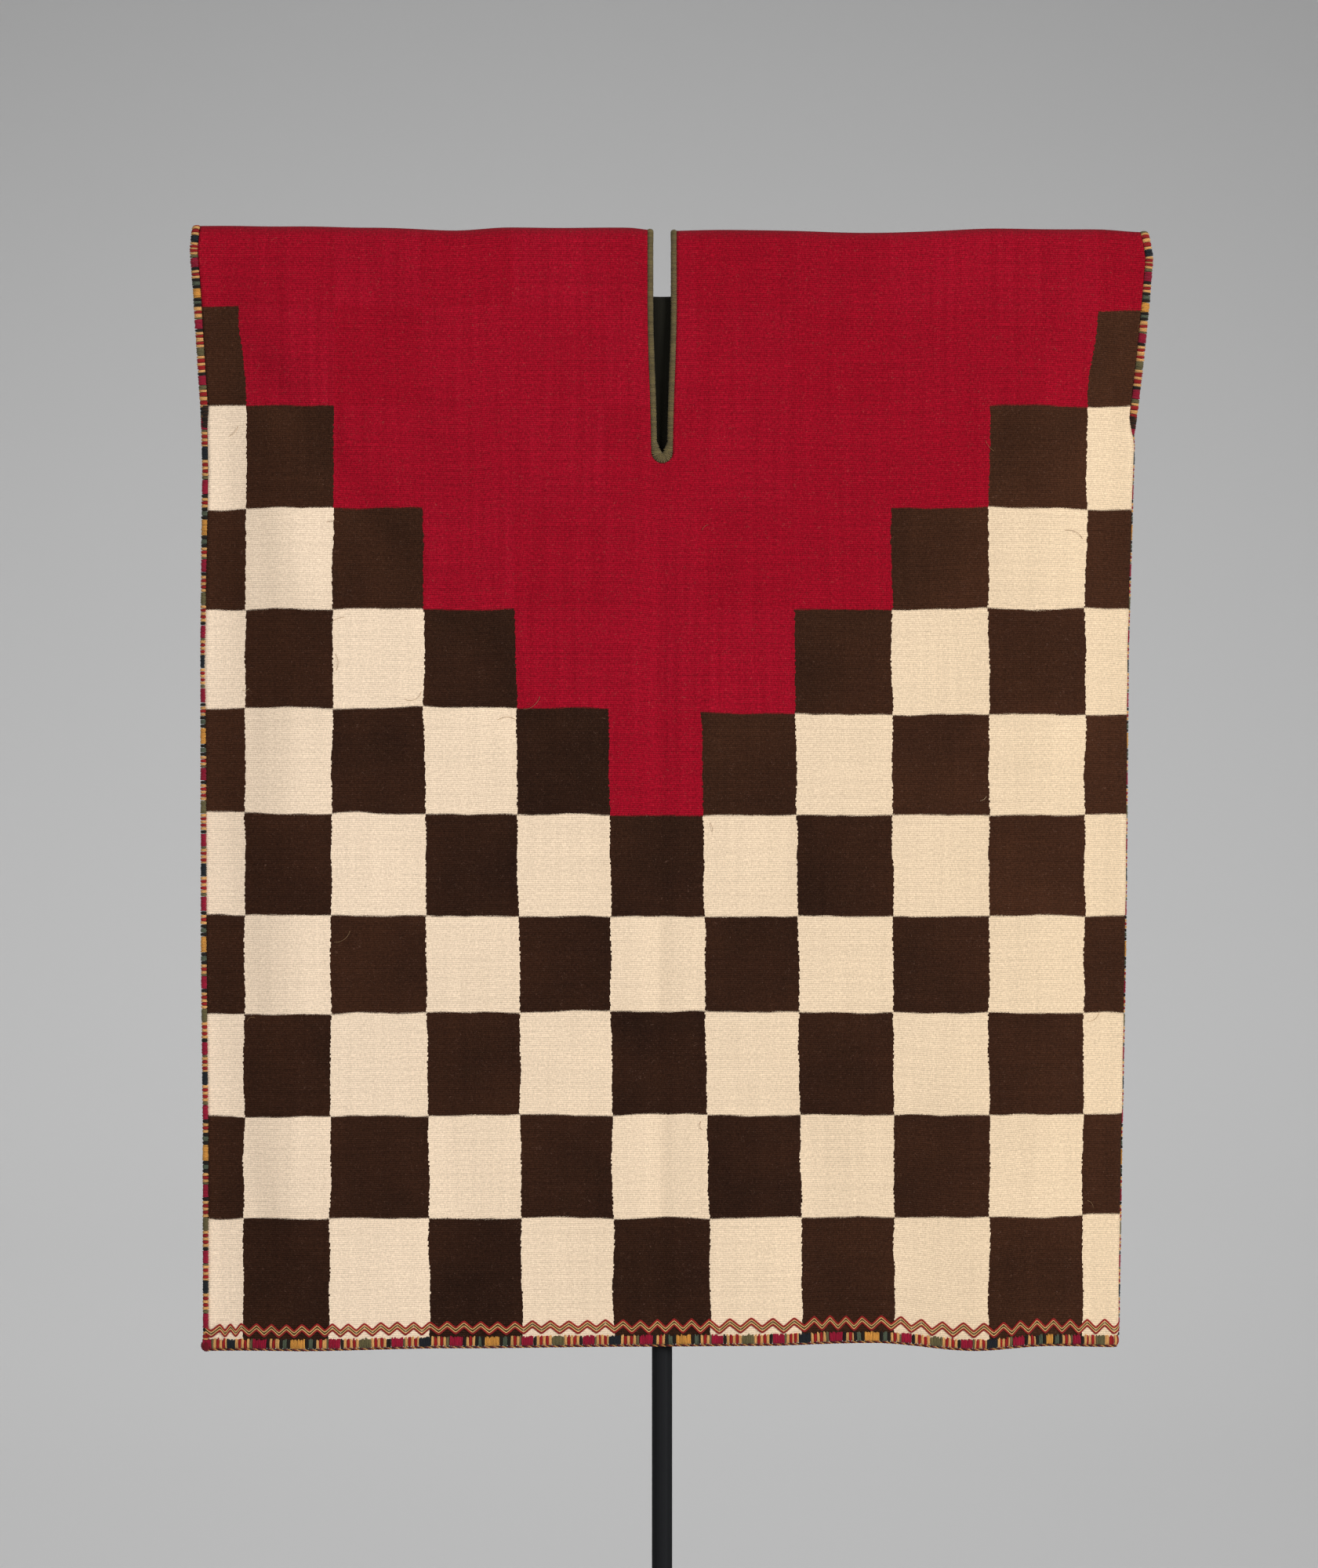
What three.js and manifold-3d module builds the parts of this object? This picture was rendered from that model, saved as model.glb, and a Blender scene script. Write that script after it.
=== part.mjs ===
// A sleeveless tapestry-woven tunic on a padded display board, which stands on a pole and a floor plate.
// The tunic is one woven cloth. It is folded over at the shoulders, sewn up both sides as far as the
// armholes, and bound with stitching at the neck slit, the armholes and the hem.
// Millimetres. +X is to the viewer's right, -Y is the front and +Z is up.
// The origin is on the floor, under the pole.
import * as THREE from "three";
import Module from "manifold-3d";
import { mergeVertices } from "three/addons/utils/BufferGeometryUtils.js";

const wasm = await Module();
wasm.setup();

// ---------------------------------------------------------------- driving dimensions
const shoulderHeight = 1436; // top of the shoulder fold above the floor
const hemHeight = 560; // lower edge of the hem above the floor
const clothThick = 2; // tapestry cloth
const foldRadius = 13; // shoulder fold, to the middle of the cloth; also half the hung tunic's depth
const armholeDrop = 151; // armhole, from the shoulder fold down
const seamGap = 0.3; // between pieces that meet
const turnGap = 0.6; // from the cloth to an edge binding, which also clears the turned edge's facets

const neckSlit = { gap: 13.2, endGap: 7.4, drop: 183, bindWidth: 5, bindThick: 4.2, room: 0.6 };
const neckNarrows = 0.35; // the share of the slit after which its gap narrows
const edgeBind = { width: 6, thick: 4 };
const hemBind = { width: 10, thick: 3.6 };

const board = { thick: 22, inset: 60, top: 1429, bottom: 590, edge: 10.8 };
const neckScoop = { width: 56, bottom: 1384, sag: 2, cornerRadius: 10 };
const pole = { diameter: 16, intoBoard: 200, clear: 0.3 };
const plate = { width: 450, depth: 320, thick: 10, cornerRadius: 24, edge: 1.5 };

// ---------------------------------------------------------------- tables
// Half widths of the worn garment to its outermost stitches, by the drop below the shoulder.
const outlineTable = [
  { drop: 0, left: 369, right: 382 },
  { drop: 20, left: 370.5, right: 385.5 },
  { drop: 55, left: 367.8, right: 382.6 },
  { drop: 100, left: 365.4, right: 378.5 },
  { drop: 151, left: 362.6, right: 373 },
  { drop: 190, left: 361.8, right: 371 },
  { drop: 330, left: 363.6, right: 367 },
  { drop: 560, left: 363.2, right: 365 },
  { drop: 700, left: 361.8, right: 362.2 },
  { drop: 880, left: 361.6, right: 359.2 },
];
// How the front and back edges lie where the sides are sewn. The right edges are turned in behind the
// side. Depth is from the middle, inset is from the outline, and turn is how far the edge turns round,
// in degrees.
const sewnEdges = {
  leftFront: { depth: 2.15, inset: 0, turn: 0 },
  leftBack: { depth: 2.15, inset: 0, turn: 0 },
  rightFront: { depth: 6.5, inset: 2, turn: 90 },
  rightBack: { depth: 6.8, inset: 1, turn: 0 },
};
// How far the shoulder fold rises or sinks along its length.
const shoulderWave = [
  { x: -356, lift: 3.6 },
  { x: -290, lift: 3.4 },
  { x: -230, lift: 2.4 },
  { x: -165, lift: 0 },
  { x: -120, lift: 2.4 },
  { x: -28, lift: 2.2 },
  { x: 0, lift: -0.4 },
  { x: 60, lift: 0.6 },
  { x: 172, lift: -1.9 },
  { x: 265, lift: 1.6 },
  { x: 340, lift: 0.8 },
  { x: 380, lift: -1.2 },
];
// How far the front hem rises or sinks along its width.
const hemWaveFront = [
  { x: -355, lift: -4.5 },
  { x: -290, lift: -3 },
  { x: -170, lift: -0.8 },
  { x: -20, lift: 0.8 },
  { x: 75, lift: 1.5 },
  { x: 165, lift: 3.8 },
  { x: 245, lift: -2.4 },
  { x: 300, lift: 0.9 },
  { x: 355, lift: -1 },
];
const hemWaveBack = [
  { x: -355, lift: -4.5 },
  { x: -230, lift: -1 },
  { x: -110, lift: 2.6 },
  { x: 30, lift: -0.6 },
  { x: 150, lift: 1.8 },
  { x: 260, lift: -1.6 },
  { x: 355, lift: -1 },
];
// Soft creases: a straight line on the cloth, how far it stands out (minus for a trough) and half its
// width.
const creasesFront = [
  { x1: -358, drop1: 60, x2: -88, drop2: 412, out: -5, reach: 16 },
  { x1: -350, drop1: 140, x2: -250, drop2: 330, out: 2.5, reach: 26 },
  { x1: -3, drop1: 215, x2: -2, drop2: 850, out: -2.2, reach: 9 },
  { x1: -345, drop1: 480, x2: -322, drop2: 620, out: -3.5, reach: 12 },
  { x1: -345, drop1: 650, x2: -310, drop2: 800, out: -3.5, reach: 12 },
  { x1: 345, drop1: 40, x2: 250, drop2: 240, out: 2, reach: 34 },
  { x1: -165, drop1: 690, x2: -168, drop2: 870, out: -2.5, reach: 22 },
  { x1: 115, drop1: 690, x2: 125, drop2: 870, out: -3, reach: 24 },
  { x1: 235, drop1: 650, x2: 250, drop2: 870, out: 2.5, reach: 30 },
];
const creasesBack = [
  { x1: 360, drop1: 30, x2: 190, drop2: 300, out: -2.6, reach: 24 },
  { x1: -350, drop1: 40, x2: -230, drop2: 260, out: -2, reach: 26 },
  { x1: -5, drop1: 215, x2: -6, drop2: 850, out: -1.2, reach: 9 },
  { x1: -120, drop1: 640, x2: -105, drop2: 870, out: 2.2, reach: 32 },
  { x1: 60, drop1: 690, x2: 45, drop2: 870, out: -2, reach: 28 },
  { x1: 190, drop1: 660, x2: 205, drop2: 870, out: 2, reach: 34 },
];

// ---------------------------------------------------------------- small functions
const clamp01 = (v) => Math.min(1, Math.max(0, v));
const ease = (v) => clamp01(v) ** 2 * (3 - 2 * clamp01(v));
const mix = (a, b, f) => a + (b - a) * f;

// Reads a table at a place between its rows, easing from row to row.
function read(table, along, column, at) {
  if (at <= table[0][along]) return table[0][column];
  for (let i = 1; i < table.length; i++) {
    const before = table[i - 1];
    const after = table[i];
    if (at <= after[along]) {
      const f = (at - before[along]) / (after[along] - before[along]);
      return mix(before[column], after[column], ease(f));
    }
  }
  return table[table.length - 1][column];
}

// Half a table's width, read with straight lines between its rows.
function outline(side, drop) {
  const column = side < 0 ? "left" : "right";
  if (drop <= 0) return outlineTable[0][column];
  for (let i = 1; i < outlineTable.length; i++) {
    const before = outlineTable[i - 1];
    const after = outlineTable[i];
    if (drop <= after.drop)
      return mix(before[column], after[column], (drop - before.drop) / (after.drop - before.drop));
  }
  return outlineTable[outlineTable.length - 1][column];
}

// ---------------------------------------------------------------- the cloth's surface
// A place on the cloth is (across, along): across runs from the left edge to the right, 0 at the pole,
// and along runs from the shoulder fold, 0, down the front, plus, or down the back, minus.
const foldTop = shoulderHeight - clothThick / 2;
const foldQuarter = (foldRadius * Math.PI) / 2;
const hemAlong = foldQuarter + foldTop - foldRadius - hemHeight;
const armholeAlong = foldQuarter + armholeDrop - clothThick / 2 - foldRadius;
const armholeDepth = { foot: 2.15, shoulder: 9 }; // how far the open edges stand from the middle
const openOver = 100; // the length over which the armhole opens
const tuckOver = 40; // the length over which the right edges turn in, below the armhole
const tuckArc = 6; // cloth that turns with the edge, inside its binding
const taper = 70; // cloth that comes in from the board to the edge
const hang = 5; // how far the cloth hangs off the board below the fold
const swaySize = 1.2; // the broad sway along the width at the hem
const swayLength = 95;
const smallTurn = 0.01; // stands for no turn, in radians
const tuckBow = 0.6; // below 1, the edges come in early over tuckOver
const freeBelow = 90; // the length below the fold over which the cloth comes off the board
const creaseFade = { before: 0.1, after: 0.15, over: 0.25 }; // in shares of a crease's length
const phase = { front: 0.6, back: 2.1 }; // where the sway starts
const normalStep = 0.5; // between the points that give the cloth's direction

const dropAt = (along) =>
  Math.abs(along) < foldQuarter
    ? foldRadius * (1 - Math.cos(along / foldRadius))
    : foldRadius + Math.abs(along) - foldQuarter;

// How one edge lies: its depth, how far it turns, and where it starts to turn and ends, in across.
function edgeOf(side, along) {
  const sewn = sewnEdges[(side < 0 ? "left" : "right") + (along > 0 ? "Front" : "Back")];
  const open = ease((armholeAlong - Math.abs(along)) / openOver);
  const tucked = ease((Math.abs(along) - armholeAlong) / tuckOver);
  const depth = mix(mix(armholeDepth.foot, armholeDepth.shoulder, open), sewn.depth, tucked ** tuckBow);
  const turn = Math.max(smallTurn, THREE.MathUtils.degToRad(sewn.turn) * tucked);
  const radius = tuckArc / turn;
  const reach = radius * Math.sin(turn) + edgeBind.width * Math.cos(turn);
  const start = outline(side, dropAt(along)) - sewn.inset * tucked - reach;
  return { depth, turn, radius, start, end: start + tuckArc + edgeBind.width };
}

// How far one crease stands out at a place on the cloth. It fades at both its ends.
function creaseAt(crease, x, drop) {
  const dx = crease.x2 - crease.x1;
  const dz = crease.drop2 - crease.drop1;
  const long = Math.hypot(dx, dz);
  const share = ((x - crease.x1) * dx + (drop - crease.drop1) * dz) / long ** 2;
  const away = ((x - crease.x1) * dz - (drop - crease.drop1) * dx) / long;
  const inside = Math.min(share + creaseFade.before, 1 + creaseFade.after - share);
  const fade = ease(inside / creaseFade.over);
  return crease.out * fade * Math.exp(-((away / crease.reach) ** 2));
}

// How far the cloth stands off the board: a slight hang that grows downwards, and the creases.
function relief(x, along) {
  const drop = dropAt(along);
  const [creases, from] = along > 0 ? [creasesFront, phase.front] : [creasesBack, phase.back];
  const sway = swaySize * Math.sin(x / swayLength + from) * clamp01(drop / (shoulderHeight - hemHeight));
  return Math.max(0, creases.reduce((sum, crease) => sum + creaseAt(crease, x, drop), hang + sway));
}

// The middle of the cloth's thickness.
function surface(across, along) {
  const side = across < 0 ? -1 : 1;
  const face = along < 0 ? 1 : -1;
  const edge = edgeOf(side, along);
  const past = Math.max(0, Math.abs(across) - edge.start);
  const turned = Math.min(past, tuckArc) / edge.radius;
  const straight = Math.max(0, past - tuckArc);
  const sideways = edge.radius * Math.sin(turned) + straight * Math.cos(edge.turn);
  const inwards = edge.radius * (1 - Math.cos(turned)) + straight * Math.sin(edge.turn);
  const x = side * (Math.min(Math.abs(across), edge.start) + sideways);
  const near = ease((Math.abs(across) - edge.start + taper) / taper);
  const free = ease((Math.abs(along) - foldQuarter) / freeBelow) * (1 - near);
  const out = mix(foldRadius, edge.depth, near) - inwards + relief(x, along) * free;
  const down = Math.sin(Math.min(Math.abs(along), foldQuarter) / foldRadius);
  const share = dropAt(along) / (shoulderHeight - hemHeight);
  const top = read(shoulderWave, "x", "lift", x) * (1 - ease(share));
  const hem = read(along > 0 ? hemWaveFront : hemWaveBack, "x", "lift", x) * clamp01(share) ** 2;
  return new THREE.Vector3(x, face * down * out, foldTop - dropAt(along) + top + hem);
}

function outward(across, along) {
  const step = normalStep;
  const { end } = edgeOf(across < 0 ? -1 : 1, along);
  const a = THREE.MathUtils.clamp(across, -end + step, end - step);
  const byAcross = surface(a + step, along).sub(surface(a - step, along));
  const byAlong = surface(a, along + step).sub(surface(a, along - step));
  return byAlong.cross(byAcross).normalize();
}

const lifted = (across, along, height) =>
  surface(across, along).addScaledVector(outward(across, along), height);

// ---------------------------------------------------------------- solids
const weldWithin = 1e-4; // corners this near each other are one corner
function geometryOf(points, faces) {
  const g = new THREE.BufferGeometry();
  g.setAttribute("position", new THREE.Float32BufferAttribute(points.flatMap((p) => [p.x, p.y, p.z]), 3));
  g.setIndex(faces);
  g.computeVertexNormals();
  return g;
}

// A wall between an outer and an inner grid of points. A cell that isn't filled is open right through.
function wall(rows, filled) {
  const high = rows.length;
  const wide = rows[0].length;
  const points = [];
  const at = (i, j, inner) => (i * wide + j) * 2 + (inner ? 1 : 0);
  rows.forEach((row) => row.forEach((cell) => points.push(cell.outer, cell.inner)));
  const faces = [];
  const quad = (a, b, c, d) => faces.push(a, b, c, a, c, d);
  const isFilled = (i, j) => i >= 0 && j >= 0 && i < high - 1 && j < wide - 1 && filled(i, j);
  for (let i = 0; i < high - 1; i++)
    for (let j = 0; j < wide - 1; j++) {
      if (!isFilled(i, j)) continue;
      quad(at(i, j), at(i + 1, j), at(i + 1, j + 1), at(i, j + 1));
      quad(at(i, j, 1), at(i, j + 1, 1), at(i + 1, j + 1, 1), at(i + 1, j, 1));
      if (!isFilled(i - 1, j)) quad(at(i, j), at(i, j + 1), at(i, j + 1, 1), at(i, j, 1));
      if (!isFilled(i + 1, j)) quad(at(i + 1, j + 1), at(i + 1, j), at(i + 1, j, 1), at(i + 1, j + 1, 1));
      if (!isFilled(i, j - 1)) quad(at(i + 1, j), at(i, j), at(i, j, 1), at(i + 1, j, 1));
      if (!isFilled(i, j + 1)) quad(at(i, j + 1), at(i + 1, j + 1), at(i + 1, j + 1, 1), at(i, j + 1, 1));
    }
  const g = geometryOf(points, faces);
  const used = mergeVertices(trimmed(g), weldWithin);
  used.computeVertexNormals();
  return used;
}

// The same geometry without the points that no face uses.
function trimmed(g) {
  const plain = g.toNonIndexed();
  plain.deleteAttribute("normal");
  return plain;
}

// A bar through a row of like sections, open at its ends and capped, or closed into a ring.
function bar(sections, ring = false) {
  const sides = sections[0].length;
  const points = sections.flat();
  const faces = [];
  const last = ring ? sections.length : sections.length - 1;
  for (let i = 0; i < last; i++)
    for (let k = 0; k < sides; k++) {
      const a = i * sides + k;
      const b = i * sides + ((k + 1) % sides);
      const c = ((i + 1) % sections.length) * sides + ((k + 1) % sides);
      const d = ((i + 1) % sections.length) * sides + k;
      faces.push(a, b, c, a, c, d);
    }
  if (!ring)
    for (let k = 1; k < sides - 1; k++) {
      const end = (sections.length - 1) * sides;
      faces.push(0, k + 1, k, end, end + k, end + k + 1);
    }
  return outwards(geometryOf(points, faces));
}

// Turns a closed geometry's faces round if they point in.
function outwards(g) {
  const p = g.getAttribute("position");
  const index = [...g.index.array];
  const [a, b, c] = [new THREE.Vector3(), new THREE.Vector3(), new THREE.Vector3()];
  let volume = 0;
  for (let i = 0; i < index.length; i += 3) {
    a.fromBufferAttribute(p, index[i]);
    b.fromBufferAttribute(p, index[i + 1]);
    c.fromBufferAttribute(p, index[i + 2]);
    volume += a.dot(b.cross(c));
  }
  if (volume < 0) {
    for (let i = 0; i < index.length; i += 3) [index[i + 1], index[i + 2]] = [index[i + 2], index[i + 1]];
    g.setIndex(index);
    g.computeVertexNormals();
  }
  return g;
}

// A rounded section in a plane: width along one direction and thickness along the other.
const sectionSides = 8;
const squareness = 0.6; // 1 is an ellipse, and less is squarer
function roundedSection(middle, widthWay, thickWay, width, thick) {
  return Array.from({ length: sectionSides }, (_, k) => {
    const angle = ((k + 0.5) / sectionSides) * Math.PI * 2;
    const square = (v) => Math.sign(v) * Math.abs(v) ** squareness;
    return middle
      .clone()
      .addScaledVector(widthWay, (square(Math.cos(angle)) * width) / 2)
      .addScaledVector(thickWay, (square(Math.sin(angle)) * thick) / 2);
  });
}

function evenly(from, to, step) {
  const count = Math.max(1, Math.round(Math.abs(to - from) / step));
  return Array.from({ length: count + 1 }, (_, i) => mix(from, to, i / count));
}

function solidOf(geometry) {
  const plain = geometry.clone();
  plain.deleteAttribute("normal");
  plain.deleteAttribute("uv");
  const merged = mergeVertices(plain, weldWithin);
  return new wasm.Manifold(
    new wasm.Mesh({
      numProp: 3,
      vertProperties: merged.attributes.position.array,
      triVerts: new Uint32Array(merged.index.array),
    }),
  );
}

function cut(geometry, ...cutters) {
  const solid = cutters.reduce((left, cutter) => left.subtract(solidOf(cutter)), solidOf(geometry));
  const mesh = solid.getMesh();
  const g = new THREE.BufferGeometry();
  g.setAttribute("position", new THREE.BufferAttribute(mesh.vertProperties, 3));
  g.setIndex(new THREE.BufferAttribute(mesh.triVerts, 1));
  g.computeVertexNormals();
  return g;
}

const group = new THREE.Group();

function piece(name, geometry, material) {
  const mesh = new THREE.Mesh(geometry, material);
  mesh.name = name;
  group.add(mesh);
  return mesh;
}

const finish = {
  wool: new THREE.MeshStandardMaterial({ color: 0x960f22, roughness: 0.95, metalness: 0 }),
  olive: new THREE.MeshStandardMaterial({ color: 0x5e5233, roughness: 0.95, metalness: 0 }),
  stripes: new THREE.MeshStandardMaterial({ color: 0xb07a3a, roughness: 0.95, metalness: 0 }),
  padding: new THREE.MeshStandardMaterial({ color: 0x12110d, roughness: 0.9, metalness: 0 }),
  steel: new THREE.MeshStandardMaterial({ color: 0x26272b, roughness: 0.55, metalness: 0.2 }),
};

// ---------------------------------------------------------------- the neck slit
// The slit runs down both faces from the fold. Its bound edge stands between it and the cloth.
const bindMiddle = (neckSlit.bindWidth + neckSlit.room / 3) / 2;
const slitRoom = neckSlit.bindWidth + neckSlit.room; // cloth left open on each side of the gap
const endRoom = neckSlit.endGap / 2 + slitRoom;
const slitEnd = foldQuarter + neckSlit.drop - foldRadius - endRoom + neckSlit.room;
const neckStep = { straight: 20, fold: 5, endTurns: 6 };

// Half the gap between the bound edges, at a place along the slit.
function slitHalfGap(along) {
  const f = Math.abs(along) / slitEnd;
  return mix(neckSlit.gap, neckSlit.endGap, ease((f - neckNarrows) / (1 - neckNarrows))) / 2;
}

// The line down the middle of the binding: down one edge, round the end and up the other.
function neckLine() {
  const line = [];
  const endRound = neckSlit.endGap / 2 + bindMiddle;
  const straight = [
    ...evenly(-slitEnd, -foldQuarter, neckStep.straight),
    ...evenly(-foldQuarter, foldQuarter, neckStep.fold).slice(1),
    ...evenly(foldQuarter, slitEnd, neckStep.straight).slice(1),
  ];
  straight.forEach((along) => line.push([-slitHalfGap(along) - bindMiddle, along]));
  for (let k = 1; k < neckStep.endTurns; k++) {
    const angle = (k / neckStep.endTurns) * Math.PI;
    line.push([-Math.cos(angle) * endRound, slitEnd + Math.sin(angle) * endRound]);
  }
  const other = line.map(([across, along]) => [-across, -along]);
  return [...line, ...other];
}

const neckPoints = neckLine();
const neckSections = neckPoints.map(([across, along], i) => {
  const before = neckPoints[(i + neckPoints.length - 1) % neckPoints.length];
  const after = neckPoints[(i + 1) % neckPoints.length];
  const out = outward(across, along);
  const way = surface(...after).sub(surface(...before)).normalize();
  const aside = new THREE.Vector3().crossVectors(way, out).normalize();
  return roundedSection(surface(across, along), aside, out, neckSlit.bindWidth, neckSlit.bindThick);
});
piece("neck_binding", bar(neckSections, true), finish.olive);

// ---------------------------------------------------------------- the woven cloth
const slitOpening = slitEnd + endRoom;
const narrowest = 0.2; // the middle column's half width below the slit, as a share of endRoom
const clothStep = { fold: 5, armhole: 22, tuck: 8, below: 50, flat: 0.1, taper: 4, tuckArc: 3 };
const endShares = [0, 0.35, 0.65, 0.88, 1]; // rows round the slit's end
const besideSlit = 0.03; // the first column beside the slit
const clearOfSlit = 14; // from the slit's end to the next row

// Half the width that is left open in the cloth for the slit and its binding.
function clothSlitHalf(along) {
  const past = Math.abs(along) - slitEnd;
  if (past <= 0) return slitHalfGap(along) + slitRoom;
  return endRoom * Math.sqrt(Math.max(narrowest ** 2, 1 - (past / endRoom) ** 2));
}

const hemTop = hemAlong - hemBind.width - seamGap;
function clothRows() {
  const stops = [
    ...evenly(0, foldQuarter, clothStep.fold),
    ...evenly(foldQuarter, armholeAlong, clothStep.armhole),
    ...evenly(armholeAlong, armholeAlong + tuckOver, clothStep.tuck),
    ...endShares.map((share) => slitEnd + endRoom * share),
    ...evenly(slitOpening + clearOfSlit, hemTop, clothStep.below),
  ];
  const down = [...new Set(stops)].sort((a, b) => a - b);
  return [...down.slice(1).reverse(), ...down.map((v) => -v)];
}

function clothColumns(along) {
  const columns = [];
  for (const side of [-1, 1]) {
    const { start } = edgeOf(side, along);
    const half = clothSlitHalf(along);
    const shares = [0, besideSlit, ...evenly(clothStep.flat, 1 - clothStep.flat, clothStep.flat)];
    const flat = shares.map((f) => mix(half, start - taper, f));
    const list = [
      ...flat,
      ...evenly(start - taper, start, taper / clothStep.taper),
      ...evenly(start, start + tuckArc - turnGap, tuckArc / clothStep.tuckArc).slice(1),
    ].map((v) => side * v);
    columns.push(...(side < 0 ? list.reverse() : list));
  }
  return columns;
}

const rows = clothRows();
const clothGrid = rows.map((along) =>
  clothColumns(along).map((across) => ({
    outer: lifted(across, along, clothThick / 2),
    inner: lifted(across, along, -clothThick / 2),
  })),
);
const slitColumn = clothColumns(0).length / 2 - 1;
const cloth = wall(clothGrid, (i, j) => {
  const middle = Math.abs((rows[i] + rows[i + 1]) / 2);
  return j !== slitColumn || middle > slitOpening;
});
piece("tunic_cloth", outwards(cloth), finish.wool);

// ---------------------------------------------------------------- armhole and side bindings
// A striped binding lies over the last of the cloth's edge. It runs round each armhole, over the shoulder,
// and on down both edges of each side, where the front and back bindings are sewn together.
function edgeSection(side, along) {
  const middle = edgeOf(side, along).end - edgeBind.width / 2;
  const aside = surface(side * (middle + 1), along).sub(surface(side * (middle - 1), along)).normalize();
  const out = outward(side * middle, along);
  return roundedSection(surface(side * middle, along), aside, out, edgeBind.width, edgeBind.thick);
}

const footAlong = armholeAlong - seamGap;
const bindStep = { armhole: 16, fold: 5, tuck: 8, side: 30 };
for (const [word, side] of Object.entries({ left: -1, right: 1 })) {
  const over = [
    ...evenly(footAlong, foldQuarter, bindStep.armhole),
    ...evenly(foldQuarter, -foldQuarter, bindStep.fold).slice(1),
    ...evenly(-foldQuarter, -footAlong, bindStep.armhole).slice(1),
  ];
  const armhole = over.map((along) => edgeSection(side, along));
  piece(`armhole_binding_${word}`, bar(armhole), finish.stripes);

  for (const [faceWord, face] of Object.entries({ front: 1, back: -1 })) {
    const down = [
      ...evenly(armholeAlong, armholeAlong + tuckOver, bindStep.tuck),
      ...evenly(armholeAlong + tuckOver, hemTop, bindStep.side).slice(1),
    ];
    const sections = down.map((along) => edgeSection(side, face * along));
    piece(`side_binding_${word}_${faceWord}`, bar(sections), finish.stripes);
  }
}

// ---------------------------------------------------------------- the hem
// The hem is bound with wrapped stitching all round, front and back.
for (const [word, face] of Object.entries({ front: 1, back: -1 })) {
  const along = face * (hemAlong - hemBind.width / 2);
  const edges = [-edgeOf(-1, along).end, edgeOf(1, along).end];
  const hemAcross = [edges[0], ...clothColumns(along), edges[1]];
  const sections = hemAcross.map((across) => {
    const down = surface(across, along + face).sub(surface(across, along - face)).normalize();
    const out = outward(across, along);
    return roundedSection(surface(across, along), down, out, hemBind.width, hemBind.thick);
  });
  piece(`hem_binding_${word}`, bar(sections), finish.stripes);
}

// ---------------------------------------------------------------- the display board
// A padded board, rounded all round, that fills the tunic and carries its shoulders.
const boardHalfWidth = (side, z) => outline(side, shoulderHeight - z) - board.inset;

// One level ring of the board, counted round from its front right corner. Share is its part of the
// thickness.
const boardStep = { corner: 5, upright: 60 };
function boardRing(z, share) {
  const corners = [
    { side: 1, face: -1, from: 90 },
    { side: 1, face: 1, from: 0 },
    { side: -1, face: 1, from: 90 },
    { side: -1, face: -1, from: 0 },
  ];
  return corners.flatMap(({ side, face, from }) =>
    evenly(from, 90 - from, 90 / boardStep.corner).map((degrees) => {
      const angle = THREE.MathUtils.degToRad(degrees);
      const round = board.edge * Math.cos(angle) - capRound * (1 - share);
      const flat = board.thick / 2 - board.edge + board.edge * Math.sin(angle);
      const x = side * (boardHalfWidth(side, z) - board.edge + round);
      return new THREE.Vector3(x, face * flat * share, z);
    }),
  );
}

const capRound = board.thick / 2 - 1; // the rounding of the board's top and bottom
const capHeights = [0.999, 0.96, 0.8, 0.55, 0.28]; // rings over it, as shares of capRound
const capSteps = capHeights.map((height) => ({
  height: capRound * (1 - height),
  share: Math.sqrt(1 - height ** 2),
}));
const boardRings = [
  ...capSteps.map(({ height, share }) => boardRing(board.bottom + height, share)),
  ...evenly(board.bottom + capRound, board.top - capRound, boardStep.upright).map((z) => boardRing(z, 1)),
  ...capSteps.toReversed().map(({ height, share }) => boardRing(board.top - height, share)),
];

// The scoop under the neck slit, and the socket for the pole.
const cutPast = 10; // how far a cutter reaches past the board
function scoopCutter() {
  const half = neckScoop.width / 2;
  const r = neckScoop.cornerRadius;
  const corner = neckScoop.bottom + neckScoop.sag;
  const innerEnd = neckScoop.bottom + neckScoop.sag / 2;
  const shape = new THREE.Shape();
  shape.moveTo(-half, board.top + cutPast);
  shape.lineTo(-half, corner + r);
  shape.quadraticCurveTo(-half, corner, -half + r, innerEnd);
  shape.quadraticCurveTo(0, neckScoop.bottom - neckScoop.sag, half - r, innerEnd);
  shape.quadraticCurveTo(half, corner, half, corner + r);
  shape.lineTo(half, board.top + cutPast);
  const g = new THREE.ExtrudeGeometry(shape, {
    depth: board.thick + 2 * cutPast,
    bevelEnabled: false,
    curveSegments: 5,
  });
  g.rotateX(Math.PI / 2);
  g.translate(0, board.thick / 2 + cutPast, 0);
  return g;
}

const uprightCylinder = (radius, low, high, sides) =>
  new THREE.CylinderGeometry(radius, radius, high - low, sides)
    .rotateX(Math.PI / 2)
    .translate(0, 0, (low + high) / 2);

const poleTop = board.bottom + pole.intoBoard;
const poleSides = 24;
const socketRadius = pole.diameter / 2 + pole.clear;
const socket = uprightCylinder(socketRadius, board.bottom - cutPast, poleTop + pole.clear, poleSides);
piece("display_board", cut(bar(boardRings), scoopCutter(), socket), finish.padding);

// ---------------------------------------------------------------- the stand
piece("pole", uprightCylinder(pole.diameter / 2, plate.thick + seamGap, poleTop, poleSides), finish.steel);

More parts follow.
